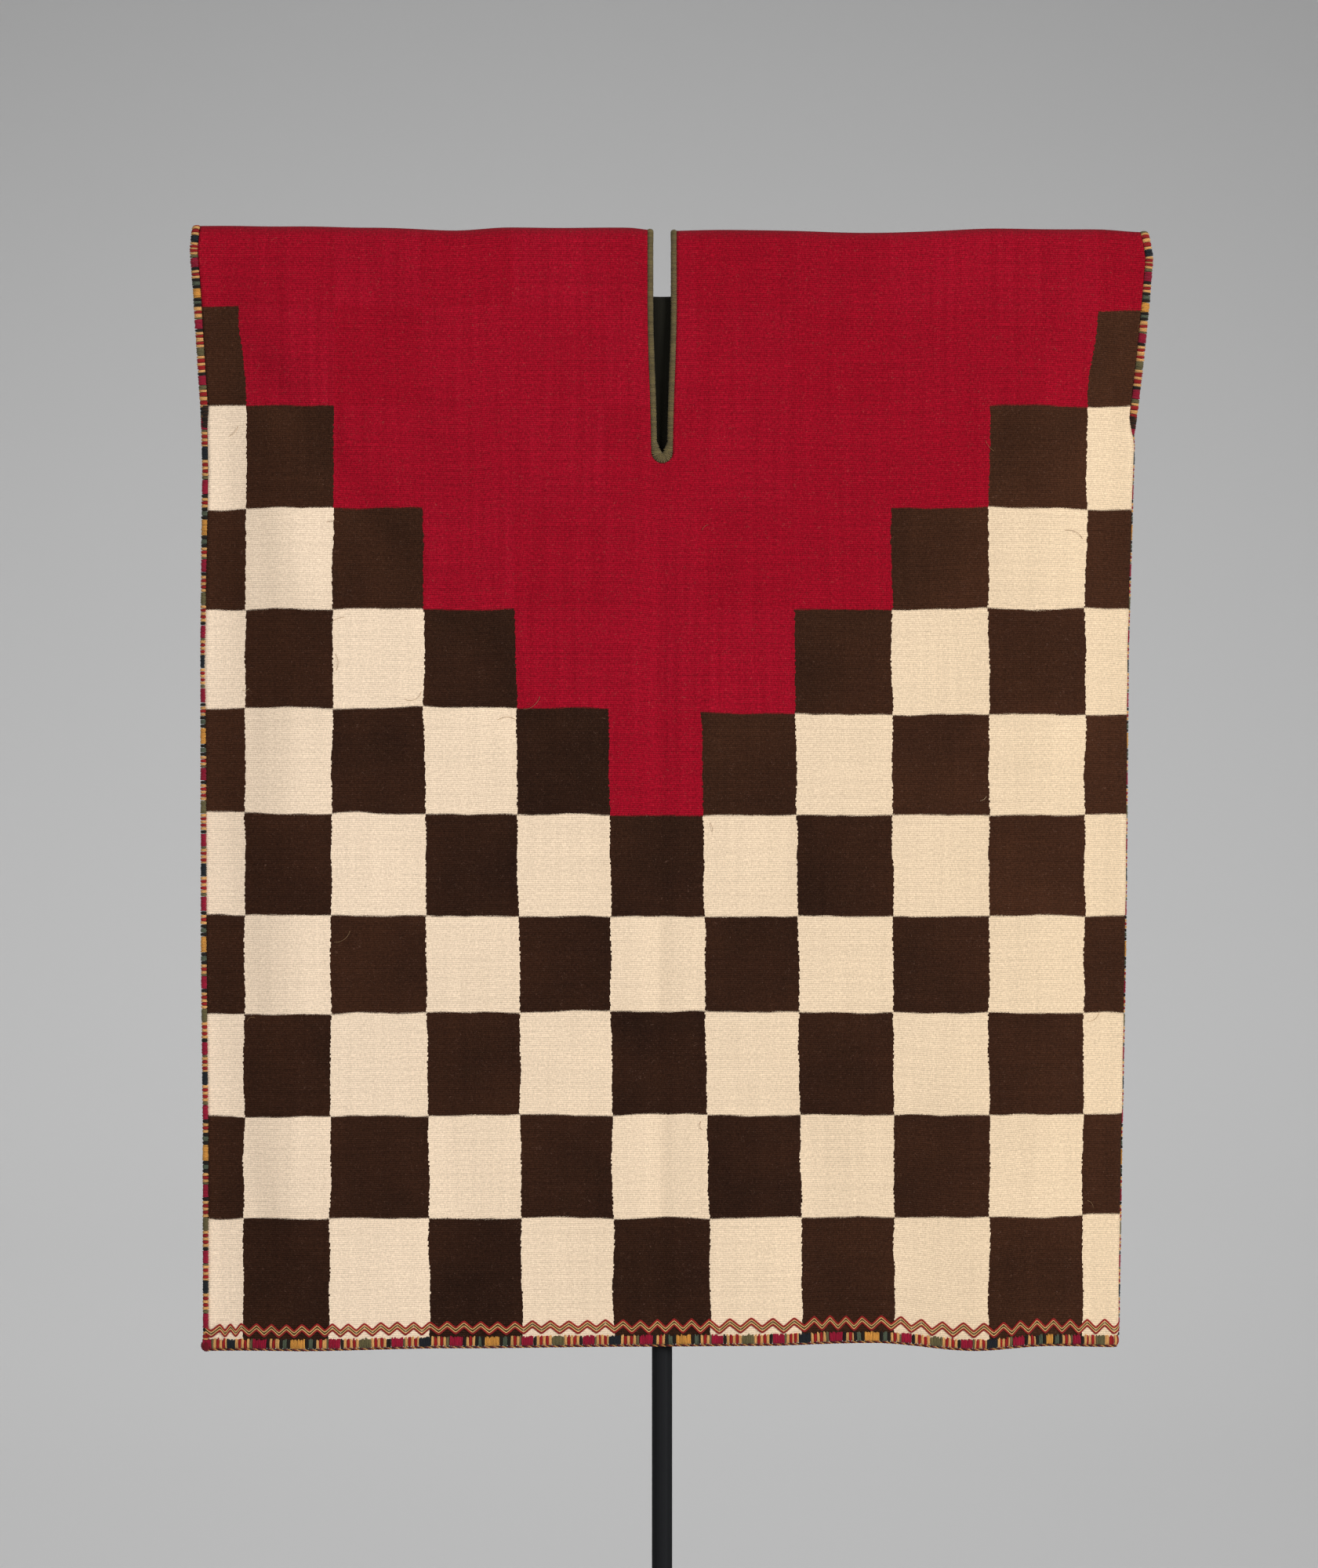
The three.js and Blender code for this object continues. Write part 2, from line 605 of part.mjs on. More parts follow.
const plateShape = new THREE.Shape();
const [px, py, pr] = [plate.width / 2 - plate.edge, plate.depth / 2 - plate.edge, plate.cornerRadius];
plateShape.absarc(px - pr, py - pr, pr, 0, Math.PI / 2);
plateShape.absarc(-px + pr, py - pr, pr, Math.PI / 2, Math.PI);
plateShape.absarc(-px + pr, -py + pr, pr, Math.PI, Math.PI * 1.5);
plateShape.absarc(px - pr, -py + pr, pr, Math.PI * 1.5, Math.PI * 2);
const plateGeometry = new THREE.ExtrudeGeometry(plateShape, {
  depth: plate.thick - plate.edge * 2,
  bevelThickness: plate.edge,
  bevelSize: plate.edge,
  bevelSegments: 1,
  curveSegments: 8,
}).translate(0, 0, plate.edge);
piece("base_plate", plateGeometry, finish.steel);

export default group;
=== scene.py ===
# A sleeveless tapestry-woven tunic on a padded display board, with its pole and floor plate.
# Metres in Blender. The garment's own sizes are in millimetres, as they are in the part.
import math

import bmesh
import bpy
import numpy as np
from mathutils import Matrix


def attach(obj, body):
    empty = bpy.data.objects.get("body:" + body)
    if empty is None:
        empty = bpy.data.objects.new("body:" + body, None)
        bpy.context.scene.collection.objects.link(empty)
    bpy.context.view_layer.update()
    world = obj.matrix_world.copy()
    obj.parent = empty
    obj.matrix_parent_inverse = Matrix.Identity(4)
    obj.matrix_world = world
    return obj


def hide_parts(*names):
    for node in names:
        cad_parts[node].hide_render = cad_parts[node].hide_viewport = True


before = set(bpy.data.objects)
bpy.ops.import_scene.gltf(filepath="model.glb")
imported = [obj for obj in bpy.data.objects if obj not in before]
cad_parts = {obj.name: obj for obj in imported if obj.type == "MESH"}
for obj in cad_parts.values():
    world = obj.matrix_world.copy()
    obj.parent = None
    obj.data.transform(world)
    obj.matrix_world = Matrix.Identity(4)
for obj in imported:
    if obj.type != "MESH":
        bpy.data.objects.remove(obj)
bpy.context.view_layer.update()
MM = 0.001

# ------------------------------------------------------------------ the camera
# A long lens, level with the middle of the tunic and square to it. The hem and the shoulders lie the same
# distance from the middle of the picture.
LENS = 100


def put(name, data):
    """A new object of this mesh, lamp or camera, in the scene."""
    obj = bpy.data.objects.new(name, data)
    bpy.context.scene.collection.objects.link(obj)
    return obj


camera = put("camera", bpy.data.cameras.new("camera"))
camera.data.lens = LENS
camera.data.sensor_width = 36
camera.data.clip_end = 100
camera.location = (-0.0024, -3.428, 1.0007)
camera.rotation_euler = (math.pi / 2, 0, 0)
bpy.context.scene.camera = camera

# ------------------------------------------------------------------ floor plate and pole
# The plate is cut from 10 mm mild steel with its edge eased, and the pole is 16 mm round steel bar.
# Both are powder-coated matt black, which gives a fine even grain and a broad, weak shine.


def linear(hex_colour):
    """An sRGB hex colour as the linear colour that the nodes hold."""
    parts = [int(hex_colour[i : i + 2], 16) / 255 for i in (1, 3, 5)]
    return tuple(c / 12.92 if c <= 0.04045 else ((c + 0.055) / 1.055) ** 2.4 for c in parts) + (1.0,)


def add(tree, kind, links=None, output=0, **settings):
    """Adds a node and gives back one of its outputs. Links are its inputs: a value or a node's output."""
    node = tree.nodes.new(kind)
    for name, value in settings.items():
        setattr(node, name, value)
    for name, value in (links or {}).items():
        if isinstance(value, bpy.types.NodeSocket):
            tree.links.new(value, node.inputs[name])
        else:
            node.inputs[name].default_value = value
    return node.outputs[output] if len(node.outputs) else node


def new_material(name):
    """A material with an empty tree."""
    material = bpy.data.materials.new(name)
    material.use_nodes = True
    material.node_tree.nodes.clear()
    return material, material.node_tree


GRAIN = 0.8 * MM  # orange peel of the coating
powder, tree = new_material("powder_coated_steel")
place = add(tree, "ShaderNodeTexCoord", output="Object")
peel = add(tree, "ShaderNodeTexNoise", {"Vector": place, "Scale": 1 / GRAIN, "Detail": 3})
rubbed = add(tree, "ShaderNodeTexNoise", {"Vector": place, "Scale": 9, "Detail": 4})
rough = add(
    tree,
    "ShaderNodeMapRange",
    {"Value": rubbed, "From Min": 0.3, "From Max": 0.7, "To Min": 0.58, "To Max": 0.64},
)
tone = add(
    tree,
    "ShaderNodeMix",
    {0: rubbed, 6: linear("#0d0e10"), 7: linear("#16171a")},
    output=2,
    data_type="RGBA",
)
bump = add(tree, "ShaderNodeBump", {"Height": peel, "Strength": 0.3, "Distance": 0.05 * MM})
skin = add(
    tree,
    "ShaderNodeBsdfPrincipled",
    {"Base Color": tone, "Roughness": rough, "Normal": bump, "IOR": 1.5, "Specular IOR Level": 0.16},
)
add(tree, "ShaderNodeOutputMaterial", {"Surface": skin})
for node in ("base_plate", "pole"):
    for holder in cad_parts[node].material_slots:
        holder.material = powder

# ------------------------------------------------------------------ the display board
# A stiff foam board, padded and covered with matt black cotton jersey, which fills the tunic and carries
# its shoulders. The cover is pulled round the edges, so they are soft, and it has a scoop under the neck
# slit.
BOARD_GRAIN = 4.5 * MM  # size of the padding's facets before they are rounded
BOARD_SOFT = 0.35 * MM  # how uneven the padding is
BOARD_HALF = 11 * MM  # half the board's thickness

board_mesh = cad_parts["display_board"].data.copy()
board = put("padded_board", board_mesh)
shape = bmesh.new()
shape.from_mesh(board_mesh)
bmesh.ops.remove_doubles(shape, verts=shape.verts, dist=1e-6)
shape.to_mesh(board_mesh)
shape.free()


def settle(obj, name=None):
    """Turns an object's modifiers into plain mesh and takes them off it."""
    graph = bpy.context.evaluated_depsgraph_get()
    mesh = bpy.data.meshes.new_from_object(
        obj.evaluated_get(graph), preserve_all_data_layers=True, depsgraph=graph
    )
    obj.modifiers.clear()
    obj.data = mesh
    mesh.name = name or obj.name
    return mesh


remesh = board.modifiers.new("padding", "REMESH")
remesh.mode = "VOXEL"
remesh.voxel_size = BOARD_GRAIN
remesh.use_smooth_shade = True
smooth = board.modifiers.new("round", "SMOOTH")
smooth.iterations = 2
board_mesh = settle(board)
spots = np.empty(len(board_mesh.vertices) * 3)
board_mesh.vertices.foreach_get("co", spots)
spots = spots.reshape(-1, 3)
x, z = spots[:, 0], spots[:, 2]
dimple = np.sin(x * 41 + 0.4) * np.sin(z * 33 + 1.1) + 0.5 * np.sin(x * 97 + z * 71)
spots[:, 1] *= 1 + BOARD_SOFT * dimple / BOARD_HALF
board_mesh.vertices.foreach_set("co", spots.ravel())

JERSEY_RIB = 1.1 * MM  # knitted wales, drawn at twice their real 0.5 mm so that they show
jersey, tree = new_material("matt_black_cotton_jersey")
place = add(tree, "ShaderNodeTexCoord", output="Object")
wales = add(
    tree,
    "ShaderNodeTexWave",
    {"Vector": place, "Scale": 1 / JERSEY_RIB / math.pi / 2, "Distortion": 0.6, "Detail": 1},
)
fluff = add(tree, "ShaderNodeTexNoise", {"Vector": place, "Scale": 1500, "Detail": 2})
worn = add(tree, "ShaderNodeTexNoise", {"Vector": place, "Scale": 25, "Detail": 4})
knit = add(tree, "ShaderNodeMath", {0: wales, 1: fluff}, operation="ADD")
tone = add(
    tree, "ShaderNodeMix", {0: worn, 6: linear("#0f0e07"), 7: linear("#1a180f")}, output=2, data_type="RGBA"
)
bump = add(tree, "ShaderNodeBump", {"Height": knit, "Strength": 0.5, "Distance": 0.15 * MM})
cover = add(
    tree,
    "ShaderNodeBsdfPrincipled",
    {
        "Base Color": tone,
        "Normal": bump,
        "Roughness": 0.95,
        "Specular IOR Level": 0.2,
        "Sheen Weight": 0.04,
    },
)
add(tree, "ShaderNodeOutputMaterial", {"Surface": cover})
board_mesh.materials.clear()
board_mesh.materials.append(jersey)
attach(board, "root")
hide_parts("display_board")

# ------------------------------------------------------------------ the woven cloth
# One tapestry cloth of camelid wool on cotton, woven sideways and folded over at the shoulders, with the
# neck slit woven open. Close wool wefts cover the warps, which show as ribs 1.6 mm apart, and each colour
# of the squares is a weft of its own, so that colours meet in fine teeth along a rib.
SHOULDER = 1436
HEM = 560
CLOTH = 2
FOLD = 13  # radius of the shoulder fold
ARMHOLE = 151
EDGE_WIDTH = 6
SLIT = {"gap": 13.2, "end_gap": 7.4, "drop": 183, "width": 5}

# Drop below the shoulder, and half width to the left and to the right.
OUTLINE = [
    (0, 369, 382),
    (20, 370.5, 385.5),
    (55, 367.8, 382.6),
    (100, 365.4, 378.5),
    (151, 362.6, 373),
    (190, 361.8, 371),
    (330, 363.6, 367),
    (560, 363.2, 365),
    (700, 361.8, 362.2),
    (880, 361.6, 359.2),
]
OPEN_DEPTH = 9  # from the middle to each cloth's edge at the armholes
FLAT_DEPTH = 2.15  # the same where a side is sewn flat
# The sewn edges: depth from the middle, inset from the outline, and how far the edge turns, in degrees.
SEWN = {
    (-1, 1): (FLAT_DEPTH, 0, 0),
    (-1, -1): (FLAT_DEPTH, 0, 0),
    (1, 1): (6.5, 2, 90),
    (1, -1): (6.8, 1, 0),
}
# Place along the width, and how far the fold or the hem rises there.
SHOULDER_WAVE = [
    (-356, 3.6),
    (-290, 3.4),
    (-230, 2.4),
    (-165, 0),
    (-120, 2.4),
    (-28, 2.2),
    (0, -0.4),
    (60, 0.6),
    (172, -1.9),
    (265, 1.6),
    (340, 0.8),
    (380, -1.2),
]
HEM_WAVE = {
    1: [
        (-355, -4.5),
        (-290, -3),
        (-170, -0.8),
        (-20, 0.8),
        (75, 1.5),
        (165, 3.8),
        (245, -2.4),
        (300, 0.9),
        (355, -1),
    ],
    -1: [(-355, -4.5), (-230, -1), (-110, 2.6), (30, -0.6), (150, 1.8), (260, -1.6), (355, -1)],
}
# Creases: place and drop of both ends, how far it stands out, and half its width.
CREASES = {
    1: [
        (-358, 60, -88, 412, -5, 16),
        (-350, 140, -250, 330, 2.5, 26),
        (-3, 215, -2, 850, -2.2, 9),
        (-345, 480, -322, 620, -3.5, 12),
        (-345, 650, -310, 800, -3.5, 12),
        (345, 40, 250, 240, 2, 34),
        (-165, 690, -168, 870, -2.5, 22),
        (115, 690, 125, 870, -3, 24),
        (235, 650, 250, 870, 2.5, 30),
    ],
    -1: [
        (360, 30, 190, 300, -2.6, 24),
        (-350, 40, -230, 260, -2, 26),
        (-5, 215, -6, 850, -1.2, 9),
        (-120, 640, -105, 870, 2.2, 32),
        (60, 690, 45, 870, -2, 28),
        (190, 660, 205, 870, 2, 34),
    ],
}
QUARTER = FOLD * math.pi / 2
FOLD_TOP = SHOULDER - CLOTH / 2
HEM_ALONG = QUARTER + FOLD_TOP - FOLD - HEM
ARM_ALONG = QUARTER + ARMHOLE - CLOTH / 2 - FOLD
TUCK_ARC = 6  # the cloth's length round the turn of an edge
TUCK = {"above": 8, "over": 26}  # an edge begins to turn this far above the armhole's foot, over this length
TAPER = 70  # the edges' depth runs out over this width
CALM = 90  # the creases and the hang grow over this length below the fold
HANG = {"off": 5, "sway": 1.2, "long": 95}  # how far the cloth stands off the board between its creases


def ease(v):
    v = np.clip(v, 0, 1)
    return v * v * (3 - 2 * v)


def read(table, at):
    """Reads a table of place and value, easing from row to row."""
    place, value = np.array(table, float).T
    i = np.clip(np.searchsorted(place, at) - 1, 0, len(place) - 2)
    return value[i] + (value[i + 1] - value[i]) * ease((at - place[i]) / (place[i + 1] - place[i]))


def drop_at(along):
    """Drop below the fold's top of a place that lies this far from the fold along the cloth."""
    along = np.abs(along)
    return np.where(along < QUARTER, FOLD * (1 - np.cos(along / FOLD)), FOLD + along - QUARTER)


def edge_of(side, along):
    """Where a side edge turns and ends: depth, turn, radius of the turn, and start and end in across."""
    drops, left, right = np.array(OUTLINE, float).T
    sewn = [
        np.where(
            side < 0,
            np.where(along > 0, SEWN[-1, 1][i], SEWN[-1, -1][i]),
            np.where(along > 0, SEWN[1, 1][i], SEWN[1, -1][i]),
        )
        for i in range(3)
    ]
    opened = ease((ARM_ALONG - np.abs(along)) / 100)
    tucked = ease((np.abs(along) - ARM_ALONG + TUCK["above"]) / TUCK["over"])
    depth = FLAT_DEPTH + (OPEN_DEPTH - FLAT_DEPTH) * opened
    depth = depth + (sewn[0] - depth) * tucked**0.6
    turn = np.maximum(0.01, np.radians(sewn[2]) * tucked)
    radius = TUCK_ARC / turn
    reach = radius * np.sin(turn) + EDGE_WIDTH * np.cos(turn)
    half = np.where(
        side < 0, np.interp(drop_at(along), drops, left), np.interp(drop_at(along), drops, right)
    )
    start = half - sewn[1] * tucked - reach
    return depth, turn, radius, start, start + TUCK_ARC + EDGE_WIDTH


def relief(x, along):
    """How far the cloth stands off the board: a slight hang, a broad sway and the creases."""
    drop = drop_at(along)
    lift = {}
    for face, phase in ((1, 0.6), (-1, 2.1)):
        sway = HANG["sway"] * np.sin(x / HANG["long"] + phase)
        total = HANG["off"] + sway * np.clip(drop / (SHOULDER - HEM), 0, 1)
        for x1, drop1, x2, drop2, out, width in CREASES[face]:
            dx, dz = x2 - x1, drop2 - drop1
            share = ((x - x1) * dx + (drop - drop1) * dz) / (dx * dx + dz * dz)
            away = ((x - x1) * dz - (drop - drop1) * dx) / math.hypot(dx, dz)
            fade = ease(np.minimum(share + 0.1, 1.15 - share) / 0.25)
            total = total + out * fade * np.exp(-((away / width) ** 2))
        lift[face] = np.maximum(0, total)
    return np.where(along > 0, lift[1], lift[-1])


def surface(across, along):
    """The middle of the cloth's thickness. Across runs left to right, along from the fold down the front."""
    across, along = np.broadcast_arrays(np.asarray(across, float), np.asarray(along, float))
    side = np.where(across < 0, -1, 1)
    face = np.where(along < 0, 1, -1)
    depth, turn, radius, start, _ = edge_of(side, along)
    past = np.maximum(0, np.abs(across) - start)
    turned = np.minimum(past, TUCK_ARC) / radius
    straight = np.maximum(0, past - TUCK_ARC)
    sideways = radius * np.sin(turned) + straight * np.cos(turn)
    inwards = radius * (1 - np.cos(turned)) + straight * np.sin(turn)
    x = side * (np.minimum(np.abs(across), start) + sideways)
    near = ease((np.abs(across) - start + TAPER) / TAPER)
    free = ease((np.abs(along) - QUARTER) / CALM) * (1 - near)
    out = FOLD + (depth - FOLD) * near - inwards + relief(x, along) * free
    down = np.sin(np.minimum(np.abs(along), QUARTER) / FOLD)
    share = drop_at(along) / (SHOULDER - HEM)
    top = read(SHOULDER_WAVE, x) * (1 - ease(share))
    low = np.where(along > 0, read(HEM_WAVE[1], x), read(HEM_WAVE[-1], x)) * np.clip(share, 0, 1) ** 2
    return np.stack([x, face * down * out, FOLD_TOP - drop_at(along) + top + low], -1)


def unit(v):
    return v / np.linalg.norm(v, axis=-1, keepdims=True)


def outward(across, along):
    """The way out of the cloth's outer face."""
    across, along = np.broadcast_arrays(np.asarray(across, float), np.asarray(along, float))
    end = edge_of(np.where(across < 0, -1, 1), along)[4] - 0.5
    a = np.clip(across, -end, end)
    by_across = surface(a + 0.5, along) - surface(a - 0.5, along)
    by_along = surface(a, along + 0.5) - surface(a, along - 0.5)
    return unit(np.cross(by_along, by_across))


SLIT_ROOM = SLIT["width"] - 0.1  # the cloth runs on a little inside the binding
END_ROOM = SLIT["end_gap"] / 2 + SLIT_ROOM
SLIT_END = QUARTER + SLIT["drop"] - FOLD - SLIT["end_gap"] / 2 - SLIT["width"]


def slit_half_gap(along):
    """Half the gap between the slit's bound edges."""
    f = np.abs(along) / SLIT_END
    return (SLIT["gap"] + (SLIT["end_gap"] - SLIT["gap"]) * ease((f - 0.35) / 0.65)) / 2


SLIT_OPENING = SLIT_END + END_ROOM
STEP = 6.2  # the mesh's cells
NAP = 0.25  # how far the wool stands out from the cloth's outer face
ROLL = {"width": 30, "depth": 1.6, "from": 180, "over": 120}  # the left edge rolls back a little, lower down
HEM_COVER = 10.3  # the cloth runs on, thinner, inside the loops that cover the last of it
THIN = 0.3  # its thickness there, as a share
# How far it runs on inside the side loops, at the armhole's foot and below, and where it begins to.
UNDER = {"top": 1.2, "low": 1.6, "above": 6, "over": 8}
LOW = {"from": 40, "over": 160}  # where below the foot the side loops grow shorter, and over what length
HEM_ROWS = np.array([8.6, 5, 1.6])  # how far above the edge the mesh's last rows lie
END_ROWS = np.array([0.2, 0.38, 0.55, 0.7, 0.82, 0.91, 0.97, 1])  # its rows round the slit's end
down = np.unique(
    np.concatenate(
        [
            np.linspace(0, QUARTER, 9),
            np.linspace(QUARTER, SLIT_END, 28),
            SLIT_END + END_ROOM * END_ROWS,
            np.linspace(SLIT_OPENING + 3, HEM_ALONG - HEM_COVER, int((HEM_ALONG - SLIT_OPENING) / STEP)),
            HEM_ALONG - HEM_ROWS,
        ]
    )
)
rows = np.concatenate([down[:0:-1], -down])
past_end = np.abs(rows) - SLIT_END
slit_side = np.where(
    past_end <= 0,
    slit_half_gap(rows) + SLIT_ROOM,
    END_ROOM * np.sqrt(np.maximum(0.04, 1 - (past_end / END_ROOM) ** 2)),
)
grid = []
for side in (-1, 1):
    start = edge_of(side, rows)[3]
    shares = np.concatenate([[0, 0.008], np.linspace(0.022, 1, 46)])
    flat = slit_side[:, None] + (start - TAPER - slit_side)[:, None] * shares
    bend = start[:, None] - TAPER + np.arange(1, 13) / 12 * TAPER
    past_foot = np.abs(rows) - ARM_ALONG
    under = UNDER["top"] * ease((past_foot + UNDER["above"]) / UNDER["over"])
    under += UNDER["low"] * ease((past_foot - LOW["from"]) / LOW["over"])
    turn = start[:, None] + np.array([1.9, 3.8, TUCK_ARC - 0.3]) + under[:, None] * np.array([0, 0.3, 1])
    half = np.concatenate([flat, bend, turn], axis=1) * side
    grid.append(half[:, ::-1] if side < 0 else half)
across = np.concatenate(grid, axis=1)
along = np.broadcast_to(rows[:, None], across.shape)
high, wide = across.shape
middle, out = surface(across, along), outward(across, along)
ripple = NAP * np.sin(across / 17 + np.sin(along / 23) * 1.4) * np.sin(along / 14 + across / 41)
near_left = ease((across + edge_of(-1, along)[4] - ROLL["width"]) / -ROLL["width"])
roll = ROLL["depth"] * near_left * ease((np.abs(along) - ARM_ALONG - ROLL["from"]) / ROLL["over"])
in_loops = np.abs(along) > HEM_ALONG - HEM_COVER
thick = (CLOTH / 2 + NAP) * np.where(in_loops, THIN, 1)
outer = middle + out * (thick + ripple * ~in_loops - roll)[..., None]
inner = middle - out * (thick - NAP + roll)[..., None]
corners = np.stack([outer, inner], 2).reshape(-1, 3) * MM


def cell(i, j, layer=0):
    return (i * wide + j) * 2 + layer


slit_column = wide // 2 - 1
i, j = np.meshgrid(np.arange(high - 1), np.arange(wide - 1), indexing="ij")
open_cell = (j == slit_column) & (np.abs(rows[:-1] + rows[1:])[:, None] / 2 < SLIT_OPENING)
filled = np.pad(~open_cell, 1)
filled[0] = filled[-1] = filled[:, 0] = filled[:, -1] = False
i, j = i[~open_cell], j[~open_cell]
quads = [
    np.stack([cell(i, j), cell(i + 1, j), cell(i + 1, j + 1), cell(i, j + 1)], 1),
    np.stack([cell(i, j, 1), cell(i, j + 1, 1), cell(i + 1, j + 1, 1), cell(i + 1, j, 1)], 1),
]
for di, dj, a, b in (
    (-1, 0, (0, 0), (0, 1)), (1, 0, (1, 1), (1, 0)), (0, -1, (1, 0), (0, 0)), (0, 1, (0, 1), (1, 1))
):
    rim = ~filled[i + 1 + di, j + 1 + dj]
    p, q = i[rim], j[rim]
    first, second = (p + a[0], q + a[1]), (p + b[0], q + b[1])
    quads.append(np.stack([cell(*first), cell(*second), cell(*second, 1), cell(*first, 1)], 1))
quads = np.concatenate(quads)
cloth_mesh = bpy.data.meshes.new("tapestry_cloth")
cloth_mesh.from_pydata(corners.tolist(), [], quads.tolist())
cloth_mesh.polygons.foreach_set("use_smooth", np.ones(len(quads), bool))

# Where the woven squares' lines lie: for the upright ones, place, lean to the right with each row and flare
# at the top, and for the level ones, drop at the left edge, left of the middle, right of it and at the
# right edge.
UPRIGHTS = [
    (-327.4, -0.3, -6),
    (-258.9, -0.4, 0),
    (-185.0, 0.7, 0),
    (-112.9, 0.8, 0),
    (-40.7, 0.6, 0),
    (32.5, 1.2, 0),
    (106.0, 0.9, 0),
    (180.5, 0.3, 0),
    (256.0, 0, 0),
    (331.1, -0.4, 7.8),
]
LEVELS = [
    (60.5, 61.5, 63, 64.2),
    (138.2, 138.4, 138.6, 138.8),
    (219.4, 218.6, 218.6, 219.8),
    (298.7, 298.7, 298.7, 298.2),
    (375.5, 375.5, 380.7, 380.7),
    (457.7, 459.5, 460, 459.3),
    (537.9, 539.1, 539.1, 538.5),
    (616.1, 613.4, 613.4, 615.2),
    (696.3, 694.4, 694.4, 693.8),
    (776.7, 774.9, 774.9, 773.6),
]
SQUARE = (74, 80)
LAST_ROW = 9.95  # the lowest row runs on under the zigzag


def squares(points):
    """How many upright and level lines lie before each point, with the part of a square past the last."""
    x, drop = points[..., 0], SHOULDER - points[..., 2]
    level = [np.interp(x, (-360, -60, 60, 360), row) for row in LEVELS]
    v = np.minimum(0, (drop - level[0]) / SQUARE[1]) + np.maximum(0, (drop - level[-1]) / SQUARE[1])
    for upper, lower in zip(level, level[1:]):
        v = v + np.clip((drop - upper) / (lower - upper), 0, 1)
    v = np.minimum(v, LAST_ROW)
    line = [at + lean * (v - 5.5) + flare * (1 - ease(v)) for at, lean, flare in UPRIGHTS]
    u = 1 + np.minimum(0, (x - line[0]) / SQUARE[0]) + np.maximum(0, (x - line[-1]) / SQUARE[0])
    for left, right in zip(line, line[1:]):
        u = u + np.clip((x - left) / (right - left), 0, 1)
    return np.stack([u, v], -1)


corner_of = np.empty(len(cloth_mesh.loops), int)
cloth_mesh.loops.foreach_get("vertex_index", corner_of)
for name, values in (("cloth", np.stack([across, along], -1) * MM), ("squares", squares(middle))):
    layer = cloth_mesh.uv_layers.new(name=name)
    both = np.repeat(values.reshape(-1, 2), 2, axis=0)
    layer.uv.foreach_set("vector", both[corner_of].astype(np.float32).ravel())
cloth = put("tapestry_cloth", cloth_mesh)

RIB = 1.6 * MM  # from warp to warp
WEFT = 0.8 * MM  # from weft to weft, drawn at twice their real 0.4 mm so that they show
wool, tree = new_material("tapestry_woven_camelid_wool")
lie = add(tree, "ShaderNodeUVMap", uv_map="cloth")
lines = add(tree, "ShaderNodeUVMap", uv_map="squares")
at_across = add(tree, "ShaderNodeSeparateXYZ", {0: lie})
at_along = at_across.node.outputs[1]
at_u = add(tree, "ShaderNodeSeparateXYZ", {0: lines})
at_v = at_u.node.outputs[1]

# Ribs, each with its own small wander, and the wefts that cross them.
wander = add(tree, "ShaderNodeTexNoise", {"Vector": lie, "Scale": 60, "Detail": 3})
jitter = add(tree, "ShaderNodeTexNoise", {"Vector": lie, "Scale": 330, "Detail": 2})
wavy = add(tree, "ShaderNodeMath", {0: wander, 1: 1.4 * MM, 2: at_along}, operation="MULTIPLY_ADD")
wavy = add(tree, "ShaderNodeMath", {0: jitter, 1: 1.1 * MM, 2: wavy}, operation="MULTIPLY_ADD")
rib_count = add(tree, "ShaderNodeMath", {0: wavy, 1: 1 / RIB}, operation="MULTIPLY")
rib_number = add(tree, "ShaderNodeMath", {0: rib_count}, operation="FLOOR")
rib_angle = add(tree, "ShaderNodeMath", {0: rib_count, 1: math.pi}, operation="MULTIPLY")
rib_wave = add(tree, "ShaderNodeMath", {0: rib_angle}, operation="SINE")
rib = add(tree, "ShaderNodeMath", {0: rib_wave}, operation="ABSOLUTE")
weft_place = add(tree, "ShaderNodeVectorMath", {0: lie, 1: (1 / WEFT, 0.55 / RIB, 1)}, operation="MULTIPLY")
weft = add(tree, "ShaderNodeTexNoise", {"Vector": weft_place, "Scale": 1, "Detail": 3, "Roughness": 0.6})
knots = add(tree, "ShaderNodeTexNoise", {"Vector": lie, "Scale": 520, "Detail": 3, "Roughness": 0.65})
hair = add(
    tree,
    "ShaderNodeTexNoise",
    {"Vector": lie, "Scale": 420, "Detail": 4, "Roughness": 0.7, "Distortion": 2.2},
)

# Colours meet in teeth: each weft turns back at its own warp, and each rib at its own place.
TEETH = {"fine": 0.06, "slow": 0.024, "sway": 0.06, "ribs": 0.014}  # how far a line wanders, in squares
UP_MIDDLE = (TEETH["fine"] + TEETH["slow"] + TEETH["sway"]) / 2  # keeps the lines where they lie on average
SIDE_MIDDLE = (TEETH["ribs"] + TEETH["sway"]) / 2
tooth_place = add(tree, "ShaderNodeCombineXYZ", {0: at_across, 1: at_v})
tooth = add(
    tree,
    "ShaderNodeTexNoise",
    {"Vector": tooth_place, "Scale": 1 / (1.3 * MM), "Detail": 1, "Roughness": 0.7},
)
tooth_long = add(tree, "ShaderNodeTexNoise", {"Vector": tooth_place, "Scale": 70, "Detail": 2})
tooth_v = add(tree, "ShaderNodeMath", {0: tooth, 1: TEETH["fine"], 2: -UP_MIDDLE}, operation="MULTIPLY_ADD")
tooth_w = add(
    tree, "ShaderNodeMath", {0: tooth_long, 1: TEETH["slow"], 2: tooth_v}, operation="MULTIPLY_ADD"
)
sway = add(tree, "ShaderNodeTexNoise", {"Vector": lie, "Scale": 22, "Detail": 1})
sway_u = add(tree, "ShaderNodeMath", {0: sway, 1: TEETH["sway"], 2: at_u}, operation="MULTIPLY_ADD")
sway_v = add(tree, "ShaderNodeMath", {0: sway, 1: TEETH["sway"], 2: at_v}, operation="MULTIPLY_ADD")
v = add(tree, "ShaderNodeMath", {0: sway_v, 1: tooth_w}, operation="ADD")
